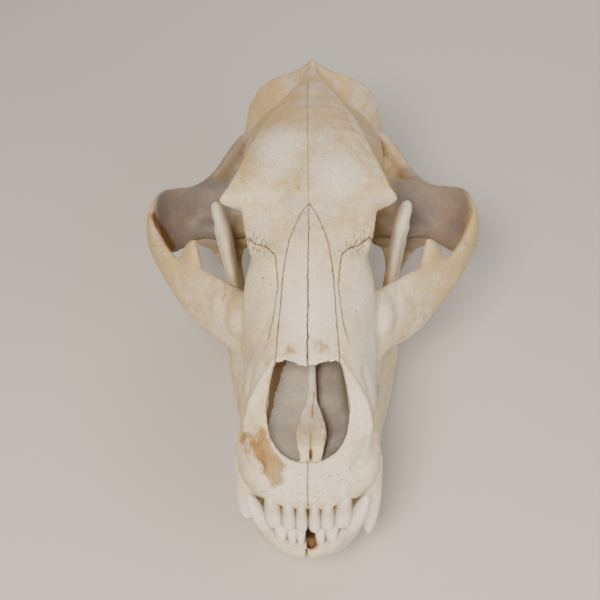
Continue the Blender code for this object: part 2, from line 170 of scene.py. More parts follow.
def flip(rings: Sequence[Ring], side: Side) -> list[Ring]:
    """Mirrors rings made for the left side where the piece is on the right."""
    return [[Vector((point.x * side.value, point.y, point.z)) for point in ring] for ring in rings]


def mesh_object(name: str, shape: bmesh.types.BMesh) -> Object:
    """Turns a bmesh into an object of the scene, its faces turned outwards."""
    bmesh.ops.recalc_face_normals(shape, faces=shape.faces)
    mesh = bpy.data.meshes.new(name)
    shape.to_mesh(mesh)
    shape.free()
    made = bpy.data.objects.new(name, mesh)
    bpy.context.scene.collection.objects.link(made)
    return made


def loft(name: str, rings: Sequence[Ring]) -> Object:
    """Makes a closed skin through rings, each extruded from the one before.

    Args:
        name: Name of the object.
        rings: Rings with as many points each.

    Returns:
        The closed object.
    """
    shape = bmesh.new()
    loop = bmesh.ops.create_circle(shape, segments=len(rings[0]), radius=1)["verts"]
    for vertex, point in zip(loop, rings[0]):
        vertex.co = point
    for ring in rings[1:]:
        edges = [shape.edges.get((a, b)) for a, b in zip(loop, loop[1:] + loop[:1])]
        grown = set(bmesh.ops.extrude_edge_only(shape, edges=edges)["geom"])
        loop = [next(e.other_vert(v) for e in v.link_edges if e.other_vert(v) in grown) for v in loop]
        for vertex, point in zip(loop, ring):
            vertex.co = point
    bmesh.ops.holes_fill(shape, edges=shape.edges, sides=0)
    return mesh_object(name, shape)


def ball(name: str, centre: Sequence[float], radii: Sequence[float], segments: int = 20) -> Object:
    """Makes a ball stretched to three radii."""
    shape = bmesh.new()
    bmesh.ops.create_uvsphere(shape, u_segments=segments, v_segments=segments // 2 + 1, radius=1)
    place = Matrix.LocRotScale(Vector(centre), None, Vector(radii))
    bmesh.ops.transform(shape, matrix=place, verts=shape.verts)
    return mesh_object(name, shape)


def balls(name: str, places: Places, side: Side) -> list[Object]:
    """Makes a ball at each of the places, on one side."""
    return [ball(name, (x * side.value, y, z), radii) for (x, y, z), radii in places]


def block(name: str, outline: Sequence[tuple[float, float]], low: Level, high: Level) -> Object:
    """Makes an upright block over an outline in plan, between two levels or functions of x and y."""
    return loft(name, [[Vector((x, y, level(x, y) if callable(level) else level)) for x, y in outline]
                       for level in (low, high)])


def swept(name: str, stations: Sequence[Row], side: Side, segments: int = 20) -> Object:
    """Makes a bar whose rings stand across the way to the next station.

    Args:
        name: Name of the object.
        stations: Centre x, y, z, half height, half thickness and how far the top leans back.
        side: Side of the skull.
        segments: Points to a ring.

    Returns:
        The bar.
    """
    rings = []
    last = len(stations) - 1
    for i, (x, y, z, half_height, half_thickness, lean) in enumerate(stations):
        before, after = stations[max(i - 1, 0)], stations[min(i + 1, last)]
        way = Vector((after[0] - before[0], after[1] - before[1], 0)).normalized()
        across = Vector((way.y, -way.x, 0)) * half_thickness
        rings.append(oval_ring(Vector((x, y, z)), across, Vector((0, lean, 1)) * half_height, segments))
    return loft(name, flip(rings, side))


def stack(name: str, stations: Sequence[Row], side: Side, turn: float = 0.0, segments: int = 20) -> Object:
    """Makes a bar of level oval rings.

    Args:
        name: Name of the object.
        stations: Centre x, y, z, half length along a turned Y, and half thickness.
        side: Side of the skull.
        turn: How far Y is turned, in degrees.
        segments: Points to a ring.

    Returns:
        The bar.
    """
    along = Vector((math.sin(math.radians(turn)), math.cos(math.radians(turn)), 0))
    across = Vector((along.y, -along.x, 0))
    rings = [oval_ring(Vector((x, y, z)), across * b, along * a, segments) for x, y, z, a, b in stations]
    return loft(name, flip(rings, side))


def bake_modifiers(target: Object) -> None:
    """Puts the evaluated mesh in place of the object's own mesh and modifiers."""
    bpy.context.view_layer.update()
    mesh = bpy.data.meshes.new_from_object(target.evaluated_get(bpy.context.evaluated_depsgraph_get()))
    target.modifiers.clear()
    target.data = mesh


def add_modifier(target: Object, kind: str, **settings: object) -> None:
    """Adds a modifier.

    Args:
        target: Object that gets it.
        kind: Blender's name of the type.
        **settings: The modifier's own properties.
    """
    modifier = target.modifiers.new(kind.lower(), kind)
    for key, value in settings.items():
        setattr(modifier, key, value)


def combine(target: Object, operation: str, others: Sequence[Object]) -> Object:
    """Applies one Boolean of the target with all the others, then removes them.

    The manifold solver is used because the exact one leaves edges with four faces where
    several rounded forms cross at once.

    Args:
        target: Closed object that is changed.
        operation: UNION, DIFFERENCE or INTERSECT.
        others: Closed objects that are used up.

    Returns:
        The target.
    """
    tools = bpy.data.collections.new(f"{target.name}_tools")
    for other in others:
        tools.objects.link(other)
    add_modifier(target, "BOOLEAN", operation=operation, operand_type="COLLECTION", collection=tools,
                 solver="MANIFOLD")
    bake_modifiers(target)
    bpy.data.collections.remove(tools)
    for other in others:
        bpy.data.objects.remove(other)
    return target


def copy_of(source: Object, name: str) -> Object:
    """Makes a second object with its own copy of the mesh."""
    made = bpy.data.objects.new(name, source.data.copy())
    bpy.context.scene.collection.objects.link(made)
    return made


def melt(target: Object, grain: float, passes: int) -> None:
    """Melts fused pieces into one smooth skin.

    Args:
        target: Object that is changed.
        grain: Size of the voxels in millimetres.
        passes: How often the skin is smoothed.
    """
    add_modifier(target, "REMESH", mode="VOXEL", voxel_size=grain)
    if passes:
        add_modifier(target, "SMOOTH", factor=0.5, iterations=passes)
    bake_modifiers(target)


def calm(target: Object, places: Places, passes: int) -> None:
    """Smooths the skin at some places only, on both sides of the skull.

    Args:
        target: Object that is changed.
        places: Centre and radii of each place on the left side.
        passes: How often the skin is smoothed.
    """
    tenths = np.round(10 * strongest(folded(points_of(target)), places, gain=1.6))
    group = target.vertex_groups.new(name="calm")
    for level in range(1, 11):
        group.add(np.flatnonzero(tenths == level).tolist(), level / 10, "REPLACE")
    add_modifier(target, "SMOOTH", factor=0.5, iterations=passes, vertex_group="calm")
    bake_modifiers(target)
    target.vertex_groups.clear()


def triangles_of(target: Object) -> int:
    """Counts the triangles that the object's faces come to."""
    counts = np.empty(len(target.data.polygons), np.int32)
    target.data.polygons.foreach_get("loop_total", counts)
    return int((counts - 2).sum())


def thin_to(target: Object, most: int) -> None:
    """Merges the flattest triangles until the object has no more than so many."""
    count = triangles_of(target)
    if count > most:
        add_modifier(target, "DECIMATE", ratio=most / count)
        bake_modifiers(target)


def keep_largest(target: Object) -> Object:
    """Drops every closed surface but the largest."""
    shape = bmesh.new()
    shape.from_mesh(target.data)
    left = set(shape.faces)
    shells = []
    while left:
        shell, waiting = [], [left.pop()]
        while waiting:
            face = waiting.pop()
            shell.append(face)
            for edge in face.edges:
                for other in edge.link_faces:
                    if other in left:
                        left.remove(other)
                        waiting.append(other)
        shells.append(shell)
    shells.sort(key=len)
    bmesh.ops.delete(shape, geom=[face for shell in shells[:-1] for face in shell], context="FACES")
    shape.to_mesh(target.data)
    shape.free()
    return target


def ripple(place: float, size: float, seed: float) -> float:
    """Gives a smooth swing between about -1 and 1 that repeats roughly each so many millimetres."""
    return 2.0 * noise.noise(Vector((place / size, seed, 0.37 * seed)))


def place_in_frame(made: Object) -> None:
    """Turns an object in skull millimetres into metres about the frame's origin."""
    made.data.transform(Matrix.Scale(MM, 4) @ Matrix.Translation((0, -FRONT_TO_ORIGIN, 0)))


def path_distance(points: np.ndarray, path: Rows) -> np.ndarray:
    """Measures from points to a path.

    Args:
        points: Points, one a row.
        path: Corners of the path, in as many dimensions.

    Returns:
        The shortest distance of each point.
    """
    nearest = np.full(len(points), 1e9)
    corners = np.array(path, float)
    for a, b in zip(corners[:-1], corners[1:]):
        way = b - a
        share = np.clip(((points - a) @ way) / max(way @ way, 1e-9), 0, 1)
        nearest = np.minimum(nearest, np.linalg.norm(points - a - share[:, None] * way, axis=1))
    return nearest


def fading(away: np.ndarray, reach: float, power: int = 2) -> np.ndarray:
    """Gives 1 at no distance, fading to nothing well past the reach."""
    return np.exp(-((away / reach) ** power))


def soft_blob(points: np.ndarray, centre: Row, radii: Row, gain: float = 1.0) -> np.ndarray:
    """Gives 1 at a centre, fading to nothing at the radii, with a flatter top the higher the gain."""
    away = np.sqrt((((points - centre) / radii) ** 2).sum(1))
    return np.minimum(1, gain * np.clip(1.25 - away, 0, 1))


def strongest(
    points: np.ndarray, places: Places | Marks, strength: float = 1.0, gain: float = 1.0,
) -> np.ndarray:
    """Gives the strongest of several soft blobs at each point.

    Args:
        points: Points, one a row.
        places: Centre and radii of each blob, and its strength if it has its own.
        strength: Strength of the others.
        gain: How flat their tops are.

    Returns:
        The share of a mark at each point.
    """
    share = np.zeros(len(points))
    for centre, radii, *own in places:
        share = np.maximum(share, (own[0] if own else strength) * soft_blob(points, centre, radii, gain))
    return share


def drawn(points: np.ndarray, lines: Lines, power: int = 2) -> np.ndarray:
    """Gives the strongest of several soft lines at each point.

    Args:
        points: Points, one a row.
        lines: Path, reach and strength of each.
        power: How sharply they end.

    Returns:
        The share of a mark at each point.
    """
    share = np.zeros(len(points))
    for path, reach, strength in lines:
        share = np.maximum(share, strength * fading(path_distance(points, path), reach, power))
    return share


def table_at(places: np.ndarray, rows: Rows) -> np.ndarray:
    """Reads a table of place and value, evenly in between, at each place."""
    return np.interp(places, *np.array(rows, float).T)


def rows_of(items: Sequence[object], field: str) -> np.ndarray:
    """Reads three numbers of each item of a mesh, one row an item."""
    flat = np.empty(len(items) * 3, np.float32)
    items.foreach_get(field, flat)
    return flat.reshape(-1, 3).astype(float)


def points_of(target: Object) -> np.ndarray:
    """Reads the object's points."""
    return rows_of(target.data.vertices, "co")


def normals_of(target: Object) -> np.ndarray:
    """Reads the normals at the object's points."""
    return rows_of(target.data.vertex_normals, "vector")


def move_points(target: Object, points: np.ndarray) -> None:
    """Puts the object's points elsewhere."""
    target.data.vertices.foreach_set("co", points.astype(np.float32).ravel())
    target.data.update()


def folded(points: np.ndarray) -> np.ndarray:
    """Copies points with both sides of the skull on the left."""
    return np.column_stack((np.abs(points[:, 0]), points[:, 1:]))


class Sculptor:
    """Raises and lowers the skin of a mesh along its normals, form by form."""

    def __init__(self, target: Object) -> None:
        """Reads the target's points and normals."""
        self.target = target
        self.points, self.normals = points_of(target), normals_of(target)
        self.mirrored = folded(self.points)
        self.lift = np.zeros(len(self.points))

    def ridge(self, path: Rows, width: float, height: float) -> None:
        """Raises both sides of the skull along a path.

        Args:
            path: Corners of the path on the left side.
            width: How far from the path it fades.
            height: How high it stands, below nothing for a groove.
        """
        corners = np.array(path, float)
        low, high = corners.min(0) - 3 * width, corners.max(0) + 3 * width
        near = np.flatnonzero(((self.mirrored > low) & (self.mirrored < high)).all(1))
        self.lift[near] += height * fading(path_distance(self.mirrored[near], path), width)

    def swell(self, centre: Row, radii: Row, height: float) -> None:
        """Raises both sides about a centre, or dents them with a height below nothing."""
        away = (((self.mirrored - centre) / radii) ** 2).sum(1)
        self.lift += height * np.exp(-away)

    def roughen(self, size: float, height: float, where: np.ndarray | None = None) -> None:
        """Adds bumps of about a size.

        Args:
            size: Distance between bumps in millimetres.
            height: Their height.
            where: Share of the height at each point, or None for all of it everywhere.
        """
        chosen = np.arange(len(self.points)) if where is None else np.flatnonzero(where > 0.02)
        scaled = self.points[chosen] / size
        bumps = np.fromiter((noise.noise(Vector(p)) for p in scaled.tolist()), float, len(chosen))
        self.lift[chosen] += height * bumps * (1.0 if where is None else where[chosen])

    def press(self) -> None:
        """Moves the target's points by what was gathered."""
        move_points(self.target, self.points + self.normals * self.lift[:, None])


# ---------------------------------------------------------------- finishes


def linear(hex_colour: str) -> tuple[float, float, float, float]:
    """Turns an sRGB hex colour into Blender's linear colour."""
    parts = [int(hex_colour[i:i + 2], 16) / 255 for i in (1, 3, 5)]
    return (*(p / 12.92 if p <= 0.04045 else ((p + 0.055) / 1.055) ** 2.4 for p in parts), 1.0)


def scale_for(millimetres: float) -> float:
    """Gives the texture scale whose features are about so many millimetres apart."""
    return 1 / (millimetres * MM)


class Nodes:
    """Adds nodes to a new material and links them."""

    def __init__(self, name: str) -> None:
        """Makes the material, empty."""
        self.material = bpy.data.materials.new(name)
        self.material.use_nodes = True
        self.tree = self.material.node_tree
        self.tree.nodes.clear()

    def add(
        self, kind: str, inputs: dict[int | str, object] | None = None, **settings: object,
    ) -> bpy.types.NodeOutputs:
        """Adds a node with its settings and links.

        Args:
            kind: Blender's name of the node type, after ShaderNode.
            inputs: Value of each input, or the socket it is linked from.
            **settings: The node's own properties.

        Returns:
            The node's outputs.
        """
        node = self.tree.nodes.new(f"ShaderNode{kind}")
        for key, value in settings.items():
            setattr(node, key, value)
        for key, value in (inputs or {}).items():
            if isinstance(value, Socket):
                self.tree.links.new(value, node.inputs[key])
            else:
                node.inputs[key].default_value = value
        return node.outputs

    def channels(self, name: str) -> list[Socket]:
        """Reads red, green, blue and alpha of an attribute."""
        stored = self.add("Attribute", attribute_name=name)
        return [*self.add("SeparateColor", {0: stored["Color"]}), stored["Alpha"]]

    def noise(self, vector: Socket, size_mm: float, detail: float, roughness: float = 0.5) -> Socket:
        """Adds noise with features of a size in millimetres."""
        return self.add("TexNoise", {"Vector": vector, "Scale": scale_for(size_mm), "Detail": detail,
                                     "Roughness": roughness})[0]

    def stretched(self, vector: Socket, scale: Row) -> Socket:
        """Scales a place, so that what is drawn there is long where the scale is small."""
        return self.add("Mapping", {"Vector": vector, "Scale": scale})[0]

    def math(self, operation: str, *values: Socket | float) -> Socket:
        """Adds a sum of one to three values."""
        return self.add("Math", dict(enumerate(values)), operation=operation)[0]

    def ramp(self, value: Socket, ends: Row, smooth: bool = True) -> Socket:
        """Turns the first two ends of a value into the other two."""
        return self.add("MapRange", {0: value, 1: ends[0], 2: ends[1], 3: ends[2], 4: ends[3]},
                        interpolation_type="SMOOTHSTEP" if smooth else "LINEAR")[0]

    def mix(self, share: Socket, under: Socket | str, over: str) -> Socket:
        """Lays a hex colour over a colour."""
        return self.add("Mix", {0: share, 6: linear(under) if isinstance(under, str) else under,
                                7: linear(over)}, data_type="RGBA")[2]

    def finish(self, **inputs: Socket | float | Row) -> Material:
        """Joins the surface to the output, its inputs named with _ for a space, and returns the material."""
        surface = self.add("BsdfPrincipled", {name.replace("_", " "): value for name, value in inputs.items()})
        self.add("OutputMaterial", {"Surface": surface[0]})
        return self.material


@dataclass(frozen=True)
class DryBone:
    """Degreased, air-dried bone, handled for years.

    The eye sees a chalky ivory skin that is half matt, warm tan blotches where old fat
    yellowed it, fine pores, brown dirt in the hollows and thin brown lines at the sutures.
    The hollows' brown also carries painted shade, and the chalk carries painted light in places.
    """

    name: str = "dry_bone"
    ivory: str = "#efdfbd"
    tan: str = "#cdae7c"
    chalk: str = "#f7f1e6"
    cool: str = "#d3c9c0"
    # The brown of the hollows stands for dirt and also for painted shade.
    hollow: str = "#7b5630"
    line: str = "#46311e"
    stain: str = "#a57c33"
    pore: str = "#715a3c"
    thin: str = "#786f6b"
    roughness: float = 0.52
    blotch_mm: float = 34.0
    cloud_mm: float = 24.0
    mottle_mm: float = 7.0
    swing_mm: float = 3.2
    streak_mm: float = 1.6
    hair_mm: float = 1.5
    grain_mm: float = 1.3
    pore_mm: float = 1.7  # real pores are half as far apart, and too fine to show
    cloud_shift: Row = (0.37, 0.11, 0.53)
    fibre_scale: Row = (1.0, 0.07, 1.0)
    hair_scale: Row = (1.0, 0.22, 0.6)
    # Two values of what is read, and what they become
    behind: Row = (-0.06, 0.12, -0.04, 0.12)
    outer: Row = (0.055, 0.115, 0.0, 0.14)
    warm: Row = (0.40, 0.66, 0.0, 0.9)
    faded: Row = (0.50, 0.68, 0.0, 0.7)
    soaked: Row = (0.88, 1.45, 0.0, 0.85)
    smoke: Row = (0.36, 0.64, 0.90, 1.08)
    split: Row = (0.50, 0.60, 0.0, 0.8)
    speck: Row = (0.12, 0.30, 1.0, 0.0)
    some: Row = (0.34, 0.72, 0.0, 1.0)
    hollow_dirt_and_shade: Row = (0.30, 1.25, 0.0, 0.95)
    seam_edge: Row = (0.15, 0.75, 1.0, 0.0)

    def make(self, streaked: bool = True) -> Material:
        """Builds the material.

        Args:
            streaked: Whether fine lines run along the bone, as on the face and forehead.

        Returns:
            The material, which reads the attributes wear_and_shade, seam, skin and brow of its piece.
        """
        nodes = Nodes(f"{self.name}{'_streaked' if streaked else ''}")
        place = nodes.add("TexCoord")["Object"]
        dirt_and_shade, bleached_and_lit, ochre, porous = nodes.channels("wear_and_shade")
        seams, skin, brow = (nodes.channels(name) for name in ("seam", "skin", "brow"))
        mottle = nodes.noise(place, self.mottle_mm, 5.0, 0.65)
        both = nodes.math("MULTIPLY", nodes.noise(place, self.blotch_mm, 4.0, 0.55), 0.62)
        both = nodes.math("MULTIPLY_ADD", mottle, 0.38, both)
        # The braincase and the cheeks are tanner than the face: warmer towards the back and towards the sides.
        axes = nodes.add("SeparateXYZ", {0: place})
        toned = nodes.math("ADD", both, nodes.ramp(axes[1], self.behind))
        toned = nodes.math("ADD", toned, nodes.ramp(nodes.math("ABSOLUTE", axes[0]), self.outer))
        colour = nodes.mix(nodes.ramp(toned, self.warm), self.ivory, self.tan)
        # Here and there the bone is bleached to a cooler grey.
        clouds = nodes.add("Mapping", {"Vector": place, "Location": self.cloud_shift})[0]
        cloud = nodes.noise(clouds, self.cloud_mm, 5.0, 0.6)
        colour = nodes.mix(nodes.ramp(cloud, self.faded), colour, self.cool)
        # Fine fibre lines run back along the bone: long in Y and close together in X and Z.
        fibre = nodes.noise(nodes.stretched(place, self.fibre_scale), self.streak_mm, 3.0)
        thread = nodes.ramp(fibre, (0.50, 0.70, 0.0, 0.45 if streaked else 0.15), smooth=False)
        colour = nodes.mix(thread, colour, self.tan)
        # Bleached chalky patches, with painted light on some crests, inside the nose and on the jaw's blade,
        # and the ochre stain.
        colour = nodes.mix(bleached_and_lit, colour, self.chalk)
        soaked = nodes.math("MULTIPLY_ADD", mottle, 0.9, ochre)
        soaked = nodes.ramp(nodes.math("MULTIPLY_ADD", fibre, 0.5, soaked), self.soaked)
        colour = nodes.mix(soaked, colour, self.stain)
        # Thin bone lets the dark behind it through, so it looks grey.
        veil = nodes.math("MULTIPLY", nodes.ramp(cloud, self.smoke), skin[0])
        colour = nodes.mix(veil, colour, self.thin)
        # Hair-like crevices where the brow meets the upper jaw.
        hair = nodes.noise(nodes.stretched(place, self.hair_scale), self.hair_mm, 4.0, 0.7)
        fuzz = nodes.math("MULTIPLY", nodes.ramp(hair, self.split, smooth=False), skin[1])
        colour = nodes.mix(fuzz, colour, self.pore)
        # Pores: dark specks, each in its own cell, larger cells being left bare.
        cells = nodes.add("TexVoronoi", {"Vector": place, "Scale": scale_for(self.pore_mm), "Randomness": 1.0})
        chance = nodes.add("SeparateColor", {0: cells["Color"]})[0]
        pores = nodes.math("MULTIPLY", nodes.ramp(cells["Distance"], self.speck, smooth=False),
                           nodes.ramp(chance, self.some, smooth=False))
        porous = nodes.math("MULTIPLY", pores, porous)
        colour = nodes.mix(porous, colour, self.pore)
        # Dirt and painted shade in the hollows, creases and gaps, broken up by the mottle.
        hollow_dirt_and_shade = nodes.ramp(nodes.math("MULTIPLY_ADD", mottle, 0.5, dirt_and_shade), self.hollow_dirt_and_shade)
        colour = nodes.mix(hollow_dirt_and_shade, colour, self.hollow)
        # Sutures: where the signed distance, pushed to and fro by noise, is about nothing.
        swing = nodes.math("SUBTRACT", nodes.noise(place, self.swing_mm, 3.0, 0.6), 0.5)
        lines = []
        for distance, strength in (seams[:2], seams[2:], brow[:2]):
            away = nodes.math("ABSOLUTE", nodes.math("MULTIPLY_ADD", swing, 2.2, distance))
            lines.append(nodes.math("MULTIPLY", nodes.ramp(away, self.seam_edge), strength))
        seen = nodes.math("MAXIMUM", nodes.math("MAXIMUM", lines[0], lines[1]), lines[2])
        colour = nodes.mix(seen, colour, self.line)
        # Relief: grain of the skin, pores and suture grooves.
        relief = nodes.noise(place, self.grain_mm, 4.0, 0.6)
        for form, height in ((mottle, 1.6), (fibre, 0.7 if streaked else 0.2), (porous, -0.9), (seen, -1.2),
                             (fuzz, -1.4)):
            relief = nodes.math("MULTIPLY_ADD", form, height, relief)
        bump = nodes.add("Bump", {"Height": relief, "Distance": 0.00022, "Strength": 0.8})[0]
        gloss = nodes.ramp(both, (0.3, 0.7, self.roughness + 0.1, self.roughness - 0.08), smooth=False)
        return nodes.finish(Base_Color=colour, Roughness=gloss, IOR=1.53, Specular_IOR_Level=0.38, Normal=bump)


@dataclass(frozen=True)
class ToothEnamel:
    """Worn natural enamel, cream coloured.

    The eye sees a glossier, paler and denser skin than the bone's, yellow towards the gum,
    with faint cracks running from gum to tip, and flanks darker with tartar and painted shade.
    """

    name: str = "tooth_enamel"
    crown: str = "#f8f2e6"
    neck: str = "#e6d8b6"
    crack: str = "#a58f68"
    tartar_and_shade: str = "#5c432a"
    roughness: float = 0.24
    crack_mm: float = 1.9
    cloud_mm: float = 5.0
    crack_scale: Row = (1.0, 1.0, 0.10)
    neck_ramp: Row = (0.35, 1.25, 0.0, 0.9)
    crack_ramp: Row = (0.60, 0.74, 0.0, 0.5)

    def make(self) -> Material:
        """Builds the material.

        Returns:
            The material, which reads wear_and_shade: red is the share of the neck, green of tartar and painted
                shade.
        """
        nodes = Nodes(self.name)
        place = nodes.add("TexCoord")["Object"]
        neck, tartar_and_shade = nodes.channels("wear_and_shade")[:2]
        edge = nodes.math("MULTIPLY_ADD", nodes.noise(place, self.cloud_mm, 4.0, 0.6), 0.5, neck)
        colour = nodes.mix(nodes.ramp(edge, self.neck_ramp), self.crown, self.neck)
        # Tartar and painted shade on the flanks that face sideways, between the incisors and on the sides of
        # the cheek teeth.
        colour = nodes.mix(tartar_and_shade, colour, self.tartar_and_shade)
        # Cracks run up the tooth: close together round it and long in Z.
        fine = nodes.noise(nodes.stretched(place, self.crack_scale), self.crack_mm, 3.0)
        colour = nodes.mix(nodes.ramp(fine, self.crack_ramp, smooth=False), colour, self.crack)
        bump = nodes.add("Bump", {"Height": fine, "Distance": 0.00012, "Strength": 0.6})[0]
        return nodes.finish(Base_Color=colour, Roughness=self.roughness, IOR=1.62, Coat_Weight=0.15,
                            Coat_Roughness=0.15, Normal=bump)


@dataclass(frozen=True)
class MattFloor:
    """Seamless paper roll, matt and pale, so that only soft shadows show on it."""

    name: str = "matt_paper"
    colour: str = "#d6d3cd"
    roughness: float = 0.85

    def make(self) -> Material:
        """Builds the material."""
        return Nodes(self.name).finish(Base_Color=linear(self.colour), Roughness=self.roughness)


def dress(piece: Object, material: Material, **marks: Sequence[np.ndarray | float]) -> None:
    """Stores the marks of a piece and gives it its material.

    Args:
        piece: Bone or tooth in skull millimetres.
        material: Material that reads the marks.
        **marks: Red, green, blue and alpha of each set of marks, by the name it is read by.
    """
    for name, channels in marks.items():
        layer = piece.data.color_attributes.new(name, "FLOAT_COLOR", "POINT")
        rows = np.stack([np.full(len(layer.data), 1.0) * channel for channel in channels], 1)
        layer.data.foreach_set("color", rows.astype(np.float32).ravel())
    piece.data.materials.clear()
    piece.data.materials.append(material)
    piece.data.shade_smooth()


def hollowness(
    bone: Object, reach: float = 15.0, rays: int = 6, clear: float = 0.4,
    cone: tuple[float, float] = (0.62, 0.785),
) -> np.ndarray:
    """Measures how deep each point of a bone lies in a hollow.

    Args:
        bone: Bone in skull millimetres.
        reach: How far a wall may be and still count.
        rays: How many ways are looked at.
        clear: How far from the skin they start.
        cone: Cosine and sine of their angle to the normal.

    Returns:
        Nothing on open ground, up to 1 where walls stand close all round.
    """
    points, normals = points_of(bone), normals_of(bone)
    helper = np.where(np.abs(normals[:, 2:3]) < 0.9, np.array([[0.0, 0.0, 1.0]]), np.array([[1.0, 0.0, 0.0]]))
    side = np.cross(normals, helper)
    side /= np.maximum(np.linalg.norm(side, axis=1, keepdims=True), 1e-9)
    ahead = np.cross(normals, side)
    starts = (points + normals * clear).tolist()
    tree = BVHTree.FromPolygons([v.co for v in bone.data.vertices], [f.vertices[:] for f in bone.data.polygons])
    closed = np.zeros(len(points))
    for ray in range(rays):
        angle = math.tau * ray / rays
        ways = normals * cone[0] + (side * math.cos(angle) + ahead * math.sin(angle)) * cone[1]
        found = (tree.ray_cast(start, way, reach)[3] for start, way in zip(starts, ways.tolist()))
        closed += np.fromiter((0.0 if away is None else 1 - away / reach for away in found), float, len(points))
    return closed / rays


# ---------------------------------------------------------------- the bones


@dataclass
class BoneMass:
    """Cranium, muzzle and cheek arches as one skin, before they are parted."""

    grain: float = 1.15
    passes: int = 12
    # y, underside, level of the widest part, top, half width, squareness below and above
    core: Rows = (
        (9, 81, 86, 91, 17, 2.4, 2.2), (14, 80, 87, 95, 28, 2.6, 2.2), (23, 79, 89, 100, 38, 3.0, 2.2),
        (38, 80, 95, 107, 45, 3.2, 2.2), (52, 82, 99, 117, 46.5, 3.2, 2.1),
        (66, 84, 102, 136, 46.5, 3.2, 2.0), (80, 84, 104, 151, 46, 3.2, 2.0),
        (104, 84, 106, 160, 46, 3.2, 2.1), (128, 84, 109, 170, 48, 3.4, 2.3),
        (148, 84, 118, 179, 47, 3.4, 2.9), (168, 85, 140, 185, 41, 2.2, 2.8),
        (190, 86, 150, 192, 36, 1.7, 2.6), (214, 89, 146, 197, 37, 1.6, 2.4),
        (240, 94, 138, 196, 44, 1.9, 1.9), (270, 94, 132, 190, 53, 2.3, 1.7),
        (300, 93, 130, 182, 57, 2.5, 1.65), (326, 92, 126, 172, 55, 2.5, 1.7),
        (346, 92, 120, 160, 47, 2.4, 1.9), (362, 98, 116, 146, 36, 2.2, 2.0),
    )
    # Forehead between the temporal lines: y, top, level of its edge, half width
    roof: Rows = (
        (138, 171, 158, 28), (160, 181, 166, 41), (176, 188, 175, 45.5), (186, 191.5, 180, 47.2),
        (191, 193.4, 182.5, 51.0), (193.2, 194.6, 184, 62.5), (200, 197, 187, 58.5), (214, 199.7, 188.8, 53.2),
        (240, 201, 188, 46), (270, 197, 184, 38), (300, 190, 179, 29), (330, 183, 174, 17),
        (352, 178, 170, 8), (368, 175, 166, 5),
    )
    roof_depth: float = 22.0
    # Back of the skull, half its outline from the peak round to the foot: x, y, z
    occiput: Rows = (
        (0, 371, 177), (17, 371, 166.5), (32, 370, 161.5), (45, 368, 152.5), (52.5, 364, 141), (56.5, 356, 126),
        (64, 346, 108), (77, 335, 90), (80, 331, 76), (67, 334, 73), (52, 346, 82), (34, 356, 88),
        (14, 364, 88), (0, 365, 94),
    )
    # Cheek arch: centre x, y, z, half height, half thickness, lean of its top
    arch: Rows = (
        (36, 137, 110, 25, 17, 0.40), (54, 150, 108.5, 20.5, 13, 0.45), (70, 163, 107.5, 22.5, 9, 0.45),
        (85, 176, 107.5, 21, 6.5, 0.40), (97, 188, 107.5, 16.5, 6.5, 0.30), (108, 203, 109, 14.0, 6.5, 0.10),
        (118, 221, 111, 14.5, 6.2, 0.05), (124, 239, 112, 18, 5.0, 0.20), (118.5, 252, 108, 23.5, 5.5, 0.55),
        (107, 261, 105, 22, 5.5, 0.65), (92, 270, 105.5, 18.5, 6.0, 0.65), (79, 287, 108, 17, 7.0, 0.45),
        (68, 318, 110, 14, 8.0, 0.10), (56, 343, 114, 12, 8.0, 0.0),
    )
    # Spur on the arch behind the eye: centre x, y, z, half length, half thickness
    spur: Rows = (
        (86, 183, 112, 19, 6.5), (87.5, 190, 121, 16, 5.5), (87.5, 196.5, 130, 10.3, 4.7),
        (87, 199, 136, 5.3, 3.5), (86, 198.5, 140, 2.8, 2.2), (84.7, 198, 142, 1, 1),
    )
    # Round forms on each side: centre and radii
    knobs: Places = (
        ((35, 44, 93), (13, 25, 15)),  # canine socket
        ((23, 368, 94), (13, 11, 14)),  # condyle of the neck
        ((40, 298, 90), (20, 20, 11)),  # ear capsule
        ((62, 316, 100), (20, 26, 18)),  # root of the ear
        ((48, 347, 84), (9, 7, 18)),  # throat process
        ((70, 261, 96), (33, 12, 9)),  # jaw joint
        ((62, 286, 106), (26, 20, 10)),  # roof behind it
        ((70, 274, 94), (20, 4.5, 13)),  # stop behind it
        ((19, 218, 94), (5, 32, 15)),  # wing behind the palate
        ((39, 146, 91), (13, 50, 11)),  # ledge of the cheek teeth
        ((51, 148, 118), (10, 20, 15)),  # cheek in front of the eye
        ((60, 160, 115), (13, 15, 14)),
        ((19, 352, 96), (15, 20, 12)),  # neck of the condyle
        ((54, 338, 93), (17, 14, 13)),  # bridge to the throat process
        ((28.5, 26, 86.5), (10, 10.5, 9)),  # socket of the third incisor
    )
    # Sloping plate over the jaw joint: centre x, y, z, half height, half thickness, lean
    joint_plate: Rows = (
        (101, 265, 104, 19.5, 5, 0.65), (88, 269, 105, 18, 6, 0.68), (72, 273, 106.5, 18, 7, 0.72),
        (56, 278, 109, 17, 8, 0.80), (44, 284, 112, 14, 8, 0.80),
    )

    # Places where the forms flow into each other: centre and radii on the left side
    soft_places: Places = (
        ((54, 152, 116), (28, 32, 28)), ((86, 186, 118), (18, 20, 16)), ((78, 270, 108), (50, 26, 30)),
        ((24, 360, 94), (34, 26, 22)), ((56, 335, 88), (34, 30, 30)), ((56, 300, 96), (34, 30, 24)),
        ((66, 285, 122), (26, 30, 20)),
    )
    soft_passes: int = 50
